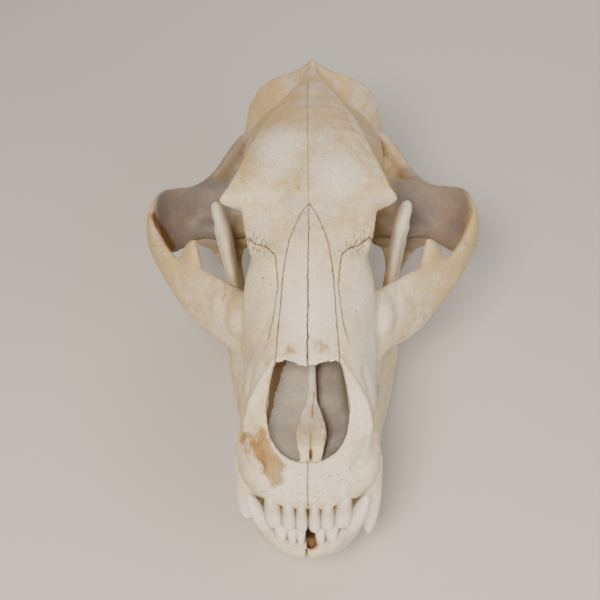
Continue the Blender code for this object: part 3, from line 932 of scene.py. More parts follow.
    # Path, width and height of each ridge, or groove where the height is below nothing
    ridges: Lines = (
        (((0, 318, 187), (0, 345, 182), (0, 370, 177)), 3.0, 1.6),  # crest in the middle
        (((20.3, 81, 146), (31.5, 71.5, 131), (36.6, 66.3, 123), (40, 55, 111), (39, 45, 107.6), (36, 33, 105),
          (28, 25, 102)), 2.6, 3.2),  # rim of the nose
        (((39, 84, 130), (44, 72, 118), (46, 60, 107)), 5.0, -2.0),  # furrows outside and inside it
        (((23, 78, 141), (27.5, 68, 127), (31, 58, 114), (31, 44, 106), (26, 36, 103)), 2.8, -1.3),
        (((42, 36, 86), (41, 47, 100), (38, 62, 116)), 6.0, 1.3),  # root of the canine
        (((49, 118, 119), (48.5, 111, 113), (47.5, 104, 108)), 3.0, -0.9),  # path of the nerve
        (((0, 371, 172), (0, 368, 145), (0, 366, 128)), 3.0, 1.4),  # middle of the skull's back
    )
    # Centre, radii and height of each swelling or dent
    swells: Marks = (
        ((40, 96, 122), (14, 20, 12), -1.6), ((0, 205, 199), (16, 34, 14), -1.0),
        ((34, 178, 186), (12, 18, 10), 0.8), ((20, 368, 150), (14, 14, 14), -1.4),
    )
    incisor_roots: Rows = ((4.3, 12, 1.5), (12.8, 13, 1.6), (23.5, 17, 2.0))  # x, y, height
    incisor_gaps: Rows = ((0, 9), (8.5, 9.5), (17.8, 12))  # x, y
    cheek_roots: Row = (104, 115, 125, 138, 151, 164, 178)  # y

    def occiput_rings(self) -> list[Ring]:
        """Makes the rings from inside the braincase to the flat back of the skull."""
        half = [Vector(point) for point in self.occiput]
        outline = half + [Vector((-p.x, p.y, p.z)) for p in reversed(half[1:-1])]
        heart = Vector((0, 352, 120))
        return [
            [heart + Vector(((p.x - heart.x) * size, p.y - heart.y + back, (p.z - heart.z) * size))
             for p in outline]
            for size, back in ((0.60, -40), (0.84, -26), (0.97, -10), (1.0, -3), (0.97, 1), (0.80, -1),
                               (0.45, -2))
        ]

    def build(self) -> Object:
        """Fuses the forms, smooths them and sculpts their surface.

        Returns:
            The mass in skull millimetres.
        """
        mass = loft("mass", [upright_ring(*row) for row in refine(self.core, 3)])
        roof = [upright_ring(y, edge - self.roof_depth, edge, top, half, 1.5, 1.9)
                for y, top, edge, half in refine(self.roof, 3)]
        pieces = [loft("roof", roof), loft("occiput", self.occiput_rings())]
        for side in Side:
            pieces.append(swept("arch", refine(self.arch, 4), side))
            pieces.append(stack("spur", refine(self.spur, 3), side, 38))
            pieces.append(swept("joint_plate", refine(self.joint_plate, 3), side))
            pieces += balls("knob", self.knobs, side)
        combine(mass, "UNION", pieces)
        melt(mass, self.grain, self.passes)
        calm(mass, self.soft_places, self.soft_passes)
        self.sculpt(mass)
        return mass

    def sculpt(self, mass: Object) -> None:
        """Raises the ridges and crests and presses the hollows between them.

        Args:
            mass: The fused mass.
        """
        clay = Sculptor(mass)
        temple = tuple((half - 1.5, y, edge + 5) for y, _, edge, half in self.roof[5:12])
        clay.ridge(temple + ((5, 352, 177), (0, 366, 176)), 3.0, 1.3)
        crest = self.occiput[:6]
        clay.ridge(crest, 4.0, 1.6)
        for x, y, height in self.incisor_roots:
            clay.ridge(((x, y - 3, 81), (x + 0.5, y + 1, 92)), 2.8, height)
        for x, y in self.incisor_gaps:
            clay.ridge(((x, y - 3, 79), (x, y, 87)), 1.6, -1.3)
        for y in self.cheek_roots:
            clay.ridge(((49, y, 84), (49.5, y + 2, 94)), 3.4, 0.7)
        for line in self.ridges:
            clay.ridge(*line)
        for swelling in self.swells:
            clay.swell(*swelling)
        clay.roughen(5.5, 0.7, fading(path_distance(clay.mirrored, crest), 9))
        clay.roughen(26, 0.7)
        clay.roughen(9, 0.35)
        clay.press()


@dataclass
class Hollows:
    """Openings cut into the bone mass: nose, throat, ears, nerve and blood openings."""

    # y, floor, level of the widest part, roof, half width
    nose: Rows = (
        (31, 101, 110, 200, 8), (36, 98, 110, 200, 17), (46, 95.5, 111, 200, 24.5), (60, 95, 112, 200, 27.6),
        (65, 95.5, 112.5, 200, 27.0), (67, 96, 113, 141, 26.6), (78, 99.5, 116, 147.6, 24.5),
        (96, 107, 121, 153.6, 22), (120, 117, 131, 163, 18), (150, 127, 146, 174.5, 15.5),
        (176, 140, 158, 184, 13), (190, 150, 166, 186, 9),
    )
    nose_squareness: float = 4.2
    # Edge of the nasal bones over the nose: half width, y at the sides and how far its middle stands out
    lip: Row = (22.0, 80.7, 5.0)
    cord: Rows = ((335, 118, 8), (352, 115, 14), (380, 112, 17))  # y, z, half width
    throat: Rows = ((172, 106, 5), (190, 98, 11), (215, 88, 13), (250, 80, 12))
    # Bony partition standing on the nose's floor: y, top, half width
    partition: Rows = (
        (31, 101.0, 7.0), (37, 103.5, 7.4), (43, 106.5, 8.8), (51, 109, 10.1), (58, 110.5, 9.0),
        (66, 112.5, 6.4), (74, 114.5, 4.0), (84, 118, 3.2), (100, 126, 2.9), (130, 141, 2.6),
    )
    partition_x: float = 2.0  # it stands a little to the animal's left
    # Blind openings on each side: centre and radii
    pits: Places = (
        ((49.5, 122.5, 124), (6, 3.4, 2.3)),  # nerve below the eye
        ((80, 298, 95), (13, 5, 5)),  # ear
        ((22, 352, 92), (3, 6, 3)),
        ((11, 30, 80), (3.4, 8, 7)),  # fissures at the front of the palate
        ((17, 150, 84), (1.6, 2.4, 4)),
        ((24, 205, 118), (6, 3, 3)),  # nerves at the back of the eye socket
        ((27, 217, 112), (6, 3.2, 3)),
        ((30, 228, 106), (6, 3, 3)),
    )
    # Small blood openings on the face and forehead, left or right: centre and radius
    pinholes: Rows = (
        (-30.5, 136.9, 166.5, 1.0), (-24.8, 130.7, 166.5, 0.8), (32.3, 118.6, 153.4, 0.9),
        (38.7, 130.8, 152.0, 1.0), (-23.8, 166.8, 184, 0.9), (-6.3, 168.6, 187, 0.7),
        (29, 177.9, 188, 0.9), (32.5, 166, 182, 0.8), (21, 150.5, 176, 0.7), (11.8, 21, 98, 0.45),
        (-6.5, 18, 97, 0.35), (19, 24, 100, 0.4), (-0.2, 16, 96, 0.4),
    )
    # Slits at the front of the nose and its floor: centre and radii
    slits: Places = (
        ((1.7, 38.5, 103), (1.1, 3.4, 6.5)), ((10.4, 33.6, 99), (1.6, 2.6, 7.0)),
        ((-6.2, 35.2, 100), (0.8, 1.0, 5.0)), ((9.2, 55.2, 108), (0.5, 0.7, 3.0)),
    )
    condyle: tuple[Row, Row] = ((71, 259, 82), (26, 8.5, 8.5))
    grain: float = 1.05
    # Trough along the top of the partition and the rim beside it, before the partition is shifted
    trough: Rows = ((-0.3, 34, 103), (-0.3, 44, 107.5), (-0.2, 52, 109.5), (0.4, 60, 111), (1.4, 72, 114))
    trough_rim: Rows = ((6.6, 33, 101), (7.6, 42, 104.5), (8.9, 50, 107), (7.6, 59, 109), (4.6, 68, 112))
    splintered: Places = (((34, 160, 176), (9, 9, 14)), ((38, 164, 176), (9, 9, 14)))

    def cut(self, mass: Object) -> None:
        """Cuts the hollows and stands the partition in the nose.

        Args:
            mass: The sculpted bone mass.
        """
        cavity = [upright_ring(y, floor, widest, top, half, 2.6, self.nose_squareness, 48)
                  for y, floor, widest, top, half in [*refine(self.nose[:5], 3), *self.nose[5:]]]
        cord = [oval_ring(Vector((0, y, z)), Vector((half, 0, 0)), Vector((0, 0, half * 0.8)), 28)
                for y, z, half in self.cord]
        throat = [oval_ring(Vector((0, y, z)), Vector((half, 0, 0)), Vector((0, 0, half)), 24)
                  for y, z, half in refine(self.throat, 2)]
        tools = [loft("nose", cavity), loft("cord", cord), loft("throat", throat), self.nose_top()]
        for side in Side:
            tools += balls("hollow", (self.condyle, *self.pits), side)
        combine(mass, "DIFFERENCE", tools)
        partition = [upright_ring(y, 86, top - 3, top, half, 0.9, 2.2, 28)
                     for y, top, half in refine(self.partition, 4)]
        for ring in partition:
            for point in ring:
                point.x += self.partition_x
        combine(mass, "UNION", [loft("partition", partition)])
        melt(mass, self.grain, 1)
        self.sculpt(mass)
        pins = [ball("pinhole", (x, y, z), (size, size, size * 2.5), 12) for x, y, z, size in self.pinholes]
        pins += [ball("pinhole", centre, radii, 12) for centre, radii in self.slits]
        combine(mass, "DIFFERENCE", pins)

    def nose_top(self) -> Object:
        """Makes the block that opens the nose upwards as far as the ragged edge of the nasal bones."""
        half, side_y, reach = self.lip
        outline = [(27.6, 58.0), (-27.6, 58.0), (-26.6, 66.0)]
        for step in range(61):
            x = half * (step / 30 - 1)
            ragged = 0.45 * ripple(x, 3.1, 31.0) + 0.3 * ripple(x, 1.3, 33.0)
            chip = 1.0 * math.exp(-(((x - 18.0) / 1.8) ** 2))
            outline.append((x, side_y - reach * (1 - abs(x / half) ** 1.6) + ragged + chip))
        outline.append((26.6, 66.0))
        return block("nose_top", outline, 119.0, OVER_FACE)

    def sculpt(self, mass: Object) -> None:
        """Shapes the fine relief: the partition's trough, splinters at the brow and the skin's grain.

        Args:
            mass: The carved mass.
        """
        clay = Sculptor(mass)
        unshifted = clay.points - (self.partition_x, 0, 0)
        clay.lift -= 2.4 * fading(path_distance(unshifted, self.trough), 2.0)
        for side in Side:
            rim = tuple((x * side.value, y, z) for x, y, z in self.trough_rim)
            clay.lift += fading(path_distance(unshifted, rim), 1.5)
        for place in self.splintered:
            clay.roughen(1.9, 0.55, soft_blob(clay.mirrored, *place))
        clay.roughen(3.0, 0.25)
        clay.press()


@dataclass
class Joints:
    """Natural joints along which the mass is parted, each a little wavy."""

    # Half width of the two nasal bones seen from above, front to back: y, half
    nasal_edge: Rows = (
        (66, 21.6), (82, 20.8), (94, 20.1), (105, 19.1), (116, 18.2), (129, 17.4), (136, 16.6),
        (146, 15.0), (158, 12.6), (168, 8.9), (175, 5.9), (181, 2.2), (184, 0.4),
    )
    nasal_underside: Rows = ((70, 135.0), (184, 184.0))
    # Joint between the face and the forehead on the skull's top: x, y
    brow: Rows = (
        (0, 124), (16, 124), (18.6, 125), (20.2, 130), (21.0, 138), (22.6, 148), (29.6, 156.5),
        (35.8, 160.8), (41, 166), (48, 171), (60, 176), (200, 184),
    )
    brow_level: float = 176.0
    brow_slope: float = 0.4  # how far it runs back for each unit down
    cheek_front: Rows = ((59, 190), (59, 118), (150, 118))
    cheek_rear: Row = (222, 111, 0.8)

    def nasal_block(self, extra: float) -> Object:
        """Makes a block round both nasal bones, grown by a gap."""
        edge = []
        for y, half in refine(self.nasal_edge, 10):
            swing = 0.42 * ripple(y, 2.6, 1.0) * min(1.0, half / 6)
            edge.append((max(half + swing, 0.3) + extra, y))
        edge[-1] = (edge[-1][0], edge[-1][1] + extra)
        (y0, z0), (y1, z1) = self.nasal_underside
        return block("nasal_tool", edge + [(-x, y) for x, y in reversed(edge)],
                     lambda x, y: z0 - extra + (y - y0) * (z1 - z0) / (y1 - y0), OVER_FACE)

    def side_block(self, side: Side, start: float) -> Object:
        """Makes a block over everything beyond the wavy midline on one side."""
        line = [(0.75 * ripple(y, 9.0, 5.0) + 0.35 * ripple(y, 2.8, 6.0) + side.value * start, float(y))
                for y in range(int(AHEAD), int(BEHIND) + 1)]
        far = side.value * ASIDE
        return block("side_tool", line + [(far, BEHIND), (far, AHEAD)], BELOW, ABOVE)

    def face_block(self, shift: float) -> Object:
        """Makes a block in front of the joint between the face and the forehead."""
        line = []
        for x, y in refine(self.brow, 14):
            wild = math.exp(-(((x - 36) / 9) ** 2))
            swing = (0.35 + 1.1 * wild) * ripple(x + y, 1.7, 9.0) * (1.0 if 17 < x < 70 else 0.0)
            line.append((x, y + swing))
        whole = sorted(line + [(-x, y) for x, y in reversed(line[1:])], key=lambda point: point[0])
        rings = []
        for z in (BELOW, ABOVE):
            back = (self.brow_level - z) * self.brow_slope + shift
            outline = [(x, y + back) for x, y in whole] + [(ASIDE, -90), (-ASIDE, -90)]
            rings.append([Vector((x, y, z)) for x, y in outline])
        return loft("face_tool", rings)

    def cheek_block(self, side: Side, extra: float) -> Object:
        """Makes a block round one cheek bone, its rear end leaning forward."""
        rear, level, lean = self.cheek_rear
        rings = []
        for z in np.linspace(40, 160, 61):
            end = rear + (level - z) * lean + extra + 0.8 * ripple(float(z), 4.0, 12.0)
            front = 0.8 * ripple(float(z), 5.0, 15.0) + 0.10 * (float(z) - 105)
            outline = [(x - extra + front if x < 100 else x, y) for x, y in self.cheek_front]
            outline += [(150, end), (98, end), (76 - extra, end + 14)]
            rings.append([Vector((x * side.value, y, float(z))) for x, y in outline])
        return loft("cheek_tool", rings)

    def part(self, mass: Object) -> dict[str, Object]:
        """Parts the mass.

        Args:
            mass: The carved mass, which is used up.

        Returns:
            The bones by the name of the CAD node that each stands for.
        """
        bones: dict[str, Object] = {}
        for side in Side:
            nasal = combine(copy_of(mass, f"nasal_{side.label}"), "INTERSECT", [self.nasal_block(0)])
            bones[f"nasal_{side.label}"] = combine(nasal, "INTERSECT", [self.side_block(side, GAP / 2)])
            cheek = copy_of(mass, f"zygomatic_{side.label}")
            bones[f"zygomatic_{side.label}"] = combine(cheek, "INTERSECT", [self.cheek_block(side, 0)])
        combine(mass, "DIFFERENCE", [self.nasal_block(GAP)] + [self.cheek_block(side, GAP) for side in Side])
        bones["muzzle"] = combine(copy_of(mass, "muzzle"), "INTERSECT", [self.face_block(0)])
        bones["cranium"] = combine(copy_of(mass, "cranium"), "DIFFERENCE", [self.face_block(GAP * 0.8)])
        bpy.data.objects.remove(mass)
        return bones


@dataclass
class Weathering:
    """Where the bone is dirty, bleached, stained, porous or seamed, and where shade and light are painted on
    it, in skull millimetres.
    """

    # Dirt and painted shade in the hollows on each side: centre, radii and strength
    dirty_shaded_hollows: Marks = (
        ((26, 82, 122), (4, 16, 22), 0.7),
        ((44, 238, 128), (19, 50, 38), 0.62), ((40, 202, 140), (16, 30, 27), 0.85),
        ((0, 362, 114), (18, 22, 18), 0.9),
        ((0, 210, 90), (14, 40, 16), 0.8),
        ((80, 298, 95), (10, 9, 9), 0.9),
        ((50, 122, 124), (5, 5, 3.6), 1.1), ((0, 28, 76), (30, 24, 9), 1.0),
        ((71, 259, 84), (28, 12, 12), 0.5),
        ((11, 30, 80), (5, 10, 8), 0.8),
    )
    # Painted shade lines: path, reach and strength, on the right side alone, on the midline, or one for each
    # side: shade inside the right cheek arch, in the partition's trough and inside the nose's rims
    painted_shade_lines: Lines = (
        (((-120, 240, 126), (-117, 232, 124), (-112, 226, 117), (-106, 216, 112), (-103, 213, 109)), 4.8, 1.1),
        (((1.9, 35, 102), (1.9, 42, 106)), 1.7, 1.0),
        (((-121, 242, 126), (-119.4, 241, 119), (-117.6, 244.5, 108), (-114.8, 244.2, 99.7),
          (-111.6, 243.5, 90)), 2.6, 1.15),
        (((24, 80, 138), (29, 69, 126), (32.5, 59, 115), (32, 47, 107.5), (27, 39, 104)), 3.0, 0.12),
        (((-24, 80, 138), (-29, 69, 126), (-32.5, 59, 115), (-32, 47, 107.5), (-27, 39, 104)), 3.2, 0.30),
    )
    # Painted shade on the nose's partition, seen from above, in its trough and as its shadow along its edge on
    # the animal's left: path, reach and strength
    partition_shade_lines: Lines = (
        (((1.7, 34, 0), (1.7, 45, 0), (2.0, 57, 0), (2.6, 67, 0), (3.8, 78, 0)), 0.55, 0.9),
        (((9.2, 31, 0), (10.6, 42, 0), (12.0, 51, 0), (10.8, 59, 0), (8.2, 68, 0), (6.0, 80, 0), (5.2, 110, 0)),
         0.7, 0.75),
        (((-3.5, 40, 0), (-3.8, 50, 0)), 1.6, 0.28),
    )
    # Painted shade on the wall of the nose on the animal's right, painted brown: y, and how far it reaches
    # inwards
    wall: Rows = (
        (42, -23.4), (50, -25.4), (58, -26.6), (66, -25.4), (70, -24.6), (79, -23.2), (87.5, -20.4),
        (96, -19.0), (107, -14.9), (140, -11),
    )
    # Painted highlight along the crests of the nose's rim on both sides
    crest: Rows = ((20.3, 81, 146), (31.5, 71.5, 131), (36.6, 66.3, 123), (40, 55, 111), (39, 45, 107.6))
    # Bleached patches: centre and radii
    pale: Places = (
        ((0, 110, 160), (22, 55, 22)), ((14, 30, 92), (26, 26, 20)), ((-22, 235, 200), (18, 30, 12)),
        ((18, 205, 198), (20, 20, 10)), ((-12, 26, 92), (22, 22, 18)), ((30, 62, 118), (16, 24, 20)),
        ((44, 104, 130), (20, 40, 26)), ((28, 32, 98), (18, 18, 16)), ((40, 128, 156), (16, 24, 16)),
    )
    # Ochre stains: centre and radii
    ochre_spots: Places = (
        ((-40, 48, 107), (5, 9, 10)), ((-7.5, 195.5, 196), (4.5, 3.5, 4)), ((9, 86, 154), (10, 9, 6)),
        ((-12, 85, 153), (8, 7, 6)),
    )
    # Thin grey bone on both sides: centre and radii
    thin: Places = (
        ((52, 196, 176), (6, 6, 4)), ((66, 262, 92), (16, 22, 20)), ((77, 291, 121), (15, 12, 11)),
    )
    # Thin grey bone on the right alone
    thin_right: Places = (((-72, 285, 124), (24, 46, 26)), ((-62, 318, 130), (16, 26, 20)))
    # Hair-like crevices on both sides: centre and radii
    fuzzy: Places = (
        ((35, 160, 175), (9, 8, 12)), ((40, 168, 172), (7, 9, 12)), ((30, 155, 176), (7, 6, 8)),
    )
    # Sutures that are drawn on both sides, front to back: x, y seen from above
    nasal_seam: Rows = (
        (21.4, 72), (20.8, 82), (20.1, 94), (19.1, 105), (18.2, 116), (17.4, 129), (16.6, 136), (15.0, 146),
        (12.6, 158), (8.9, 168), (5.9, 175), (2.2, 181), (0.4, 184),
    )
    brow_seam: Rows = (
        (28, 92), (25.2, 100), (22.8, 110), (21.4, 121), (20.3, 128), (21.0, 138), (22.6, 148),
        (29.6, 156.5), (35.8, 160.8), (41, 166), (46, 169.5),
    )
    # The ochre stain from the canine's root to the nose: path, reach and strength
    ochre_lines: Lines = (
        (((-40, 47, 107), (-35, 38, 105), (-28, 31, 102), (-20, 21, 98)), 5.6, 1.0),
        (((-31.5, 54, 108), (-29, 45, 106), (-26, 36, 104), (-20, 28, 102)), 5.6, 1.0),
    )
    porous_places: Places = (((14, 20, 92), (40, 30, 24)), ((0, 250, 196), (60, 90, 20)))
    # The nose's inside: y, and half width or level of the roof
    nose_widths: Rows = (
        (31, 8.5), (36, 17.5), (46, 25.3), (60, 28.2), (67, 27.2), (78, 25.2), (96, 22.6), (120, 18.6),
    )
    nose_roofs: Rows = (
        (31, 104), (46, 108), (60, 112), (66, 120), (78, 146), (96, 152), (120, 161), (150, 173),
    )
    # Its partition: y, and half width, level of its foot or how dirty it is
    plate_widths: Rows = ((30, 7.6), (43, 9.4), (51, 10.7), (58, 9.6), (66, 7.0), (74, 4.6), (90, 3.6))
    plate_feet: Rows = ((30, 97), (51, 104.5), (74, 110), (100, 121), (130, 136))
    plate_dirt: Rows = ((42, 0.42), (58, 0.46), (70, 0.18), (90, 0.10))
    plate_x: float = 2.0
    plate_grey: float = 0.38  # at its rear
    wall_greys: tuple[float, float] = (0.86, 0.68)  # left and right of the partition
    # Share of painted light inside the nose
    wall_pale: float = 0.8
    wall_dirt: float = 0.12
    wall_porous: float = 0.15

    def dress(self, bone: Object, material: Material) -> None:
        """Stores the marks of a bone and gives it its material.

        Args:
            bone: Bone in skull millimetres.
            material: Material that reads the marks.
        """
        points = points_of(bone)
        mirrored = folded(points)
        x, y, z = points.T
        # Dirt and painted shade in the hollows, and the painted shade lines.
        dirt_and_shade = np.maximum(strongest(mirrored, self.dirty_shaded_hollows), drawn(points, self.painted_shade_lines, 4))
        # Bleached patches, and a painted highlight along the crests of the nose's rim.
        pale = np.maximum(strongest(points, self.pale, 0.75), drawn(mirrored, ((self.crest, 2.6, 0.8),)))
        ochre = np.maximum(drawn(points, self.ochre_lines), strongest(points, self.ochre_spots, 0.55))
        porous = 0.45 + 0.55 * strongest(mirrored, self.porous_places)
        grey = np.maximum(self.sheet(bone, mirrored), strongest(mirrored, self.thin, 0.62, 1.6))
        grey = np.maximum(grey, strongest(points, self.thin_right, 0.72, 1.6))
        # The nose's inside is an even grey with painted light on it and little dirt; its partition is pale and
        # carries painted shade lines, and one wall is painted brown as painted shade.
        roofs = table_at(y, self.nose_roofs) - 0.013 * x * x * np.clip((y - 62) / 8, 0, 1)
        inside = (np.abs(x) < table_at(y, self.nose_widths)) & (z < roofs) & (z > 92) & (y > 33) & (y < 160)
        plate = (np.abs(x - self.plate_x) < table_at(y, self.plate_widths)) & (y < 135) & (y > 31)
        plate &= (z > table_at(y, self.plate_feet)) & (z < roofs)
        deep = inside & ~plate
        grey = np.where(inside, np.where(x > self.plate_x, *self.wall_greys), grey)
        grey = np.where(plate, np.clip((y - 56) / 30, 0, self.plate_grey), grey)
        # Painted shade: the deeper a point lies in a hollow, the darker its colour, less so on grey thin bone.
        dirt_and_shade = np.maximum(dirt_and_shade, np.clip(hollowness(bone) * 1.5 - 0.12, 0, 0.85) * (1 - 0.8 * grey))
        dirt_and_shade = np.where(deep, np.minimum(dirt_and_shade, self.wall_dirt), dirt_and_shade)
        dirt_and_shade = np.where(plate & (y > 42), table_at(y, self.plate_dirt), dirt_and_shade)
        dirt_and_shade = np.where(deep | plate, np.maximum(dirt_and_shade, drawn(points * (1, 1, 0), self.partition_shade_lines)), dirt_and_shade)
        ragged = np.fromiter((noise.noise(Vector((0.35 * b, 0.35 * c, 4.0))) for _, b, c in points.tolist()),
                             float, len(points))
        # Painted shade: the nose's wall on the animal's right is painted brown, with a ragged edge.
        wall_shade = deep & (x < table_at(y, self.wall) + 1.2 * ragged) & (y > 42)
        dirt_and_shade, grey = np.where(wall_shade, 1.0, dirt_and_shade), np.where(wall_shade, 0.0, grey)
        # Painted light: the nose's inside is painted pale, its partition only towards the back.
        lit = np.where(plate, np.clip((y - 56) / 14, 0, self.wall_pale), self.wall_pale)
        pale = np.where(inside, lit, pale)
        porous = np.where(inside, self.wall_porous, porous)
        dress(bone, material, skin=(grey, strongest(mirrored, self.fuzzy), 0, 0),
              wear_and_shade=(dirt_and_shade, pale * (1 - dirt_and_shade), ochre, porous),
              seam=(*self.side_seam(points, mirrored, self.nasal_seam, 0.6), *self.middle_seam(points)),
              brow=(*self.side_seam(points, mirrored, self.brow_seam, 0.75), 0, 0))

    def sheet(self, bone: Object, mirrored: np.ndarray) -> np.ndarray:
        """Finds the thin sheet in front of the jaw joint by where it is and which way it faces.

        Args:
            bone: The bone.
            mirrored: Its points with both sides on the left.

        Returns:
            Share of the sheet's colour at each point.
        """
        facing = normals_of(bone) @ np.array([0.0, -0.86, 0.5])
        x, y, z = mirrored.T
        inside = np.clip((x - 58) / 10, 0, 1) * np.clip((y - 234) / 7, 0, 1) * np.clip((300 - y) / 12, 0, 1)
        share = inside * np.clip((z - 80) / 5, 0, 1) * np.clip((facing - 0.05) / 0.35, 0, 1)
        return share * np.clip((124.5 - x) / 5, 0, 1) * np.where(points_of(bone)[:, 0] > 0, 0.88, 1.0)

    @staticmethod
    def side_seam(
        points: np.ndarray, mirrored: np.ndarray, path: Rows, strength: float,
    ) -> tuple[np.ndarray, np.ndarray]:
        """Measures each point from a suture that is drawn on both sides of the face.

        Args:
            points: The bone's points.
            mirrored: The same with both sides on the left.
            path: The suture seen from above.
            strength: How dark it is.

        Returns:
            Signed distance, and how strongly the suture shows there.
        """
        corners = np.array(path, float)
        flat = mirrored[:, :2]
        away, sign = np.full(len(flat), 1e9), np.ones(len(flat))
        for a, b in zip(corners[:-1], corners[1:]):
            way = b - a
            share = np.clip(((flat - a) @ way) / (way @ way), 0, 1)
            here = np.linalg.norm(flat - a - share[:, None] * way, axis=1)
            turned = np.sign(way[0] * (flat[:, 1] - a[1]) - way[1] * (flat[:, 0] - a[0]))
            nearer = here < away
            away[nearer], sign[nearer] = here[nearer], turned[nearer]
        low, high = corners[0, 1], corners[-1, 1]
        seen = (points[:, 2] > 138) & (away < 8)
        fade = np.clip((points[:, 1] - low + 2) / 10, 0, 1) * np.clip((high + 3 - points[:, 1]) / 3, 0, 1)
        return np.clip(away, 0, FAR_FROM_SEAM) * sign, np.where(seen, strength * fade, 0.0)

    @staticmethod
    def middle_seam(points: np.ndarray) -> tuple[np.ndarray, np.ndarray]:
        """Measures each point from the midline, and says how strongly its suture shows there."""
        x, y, z = points.T
        strength = np.zeros(len(points))
        strength[(y > 5) & (y < 34)] = 0.75
        nasal = (y > 70) & (y < 184) & (z > 128 + 0.42 * (y - 70))
        strength[nasal] = np.interp(y[nasal], (100, 150, 184), (0.95, 0.75, 0.5))
        strength[(y >= 184) & (y < 335) & (z > 150)] = 0.55
        lean = np.interp(y, (180, 228, 320), (0, -1.2, -3.5))
        wide = np.interp(y, (60, 80, 130, 184, 190), (1.0, 0.95, 1.0, 1.3, 1.2))
        return np.clip((x - lean) * wide, -FAR_FROM_SEAM, FAR_FROM_SEAM), strength


# ---------------------------------------------------------------- the lower jaw


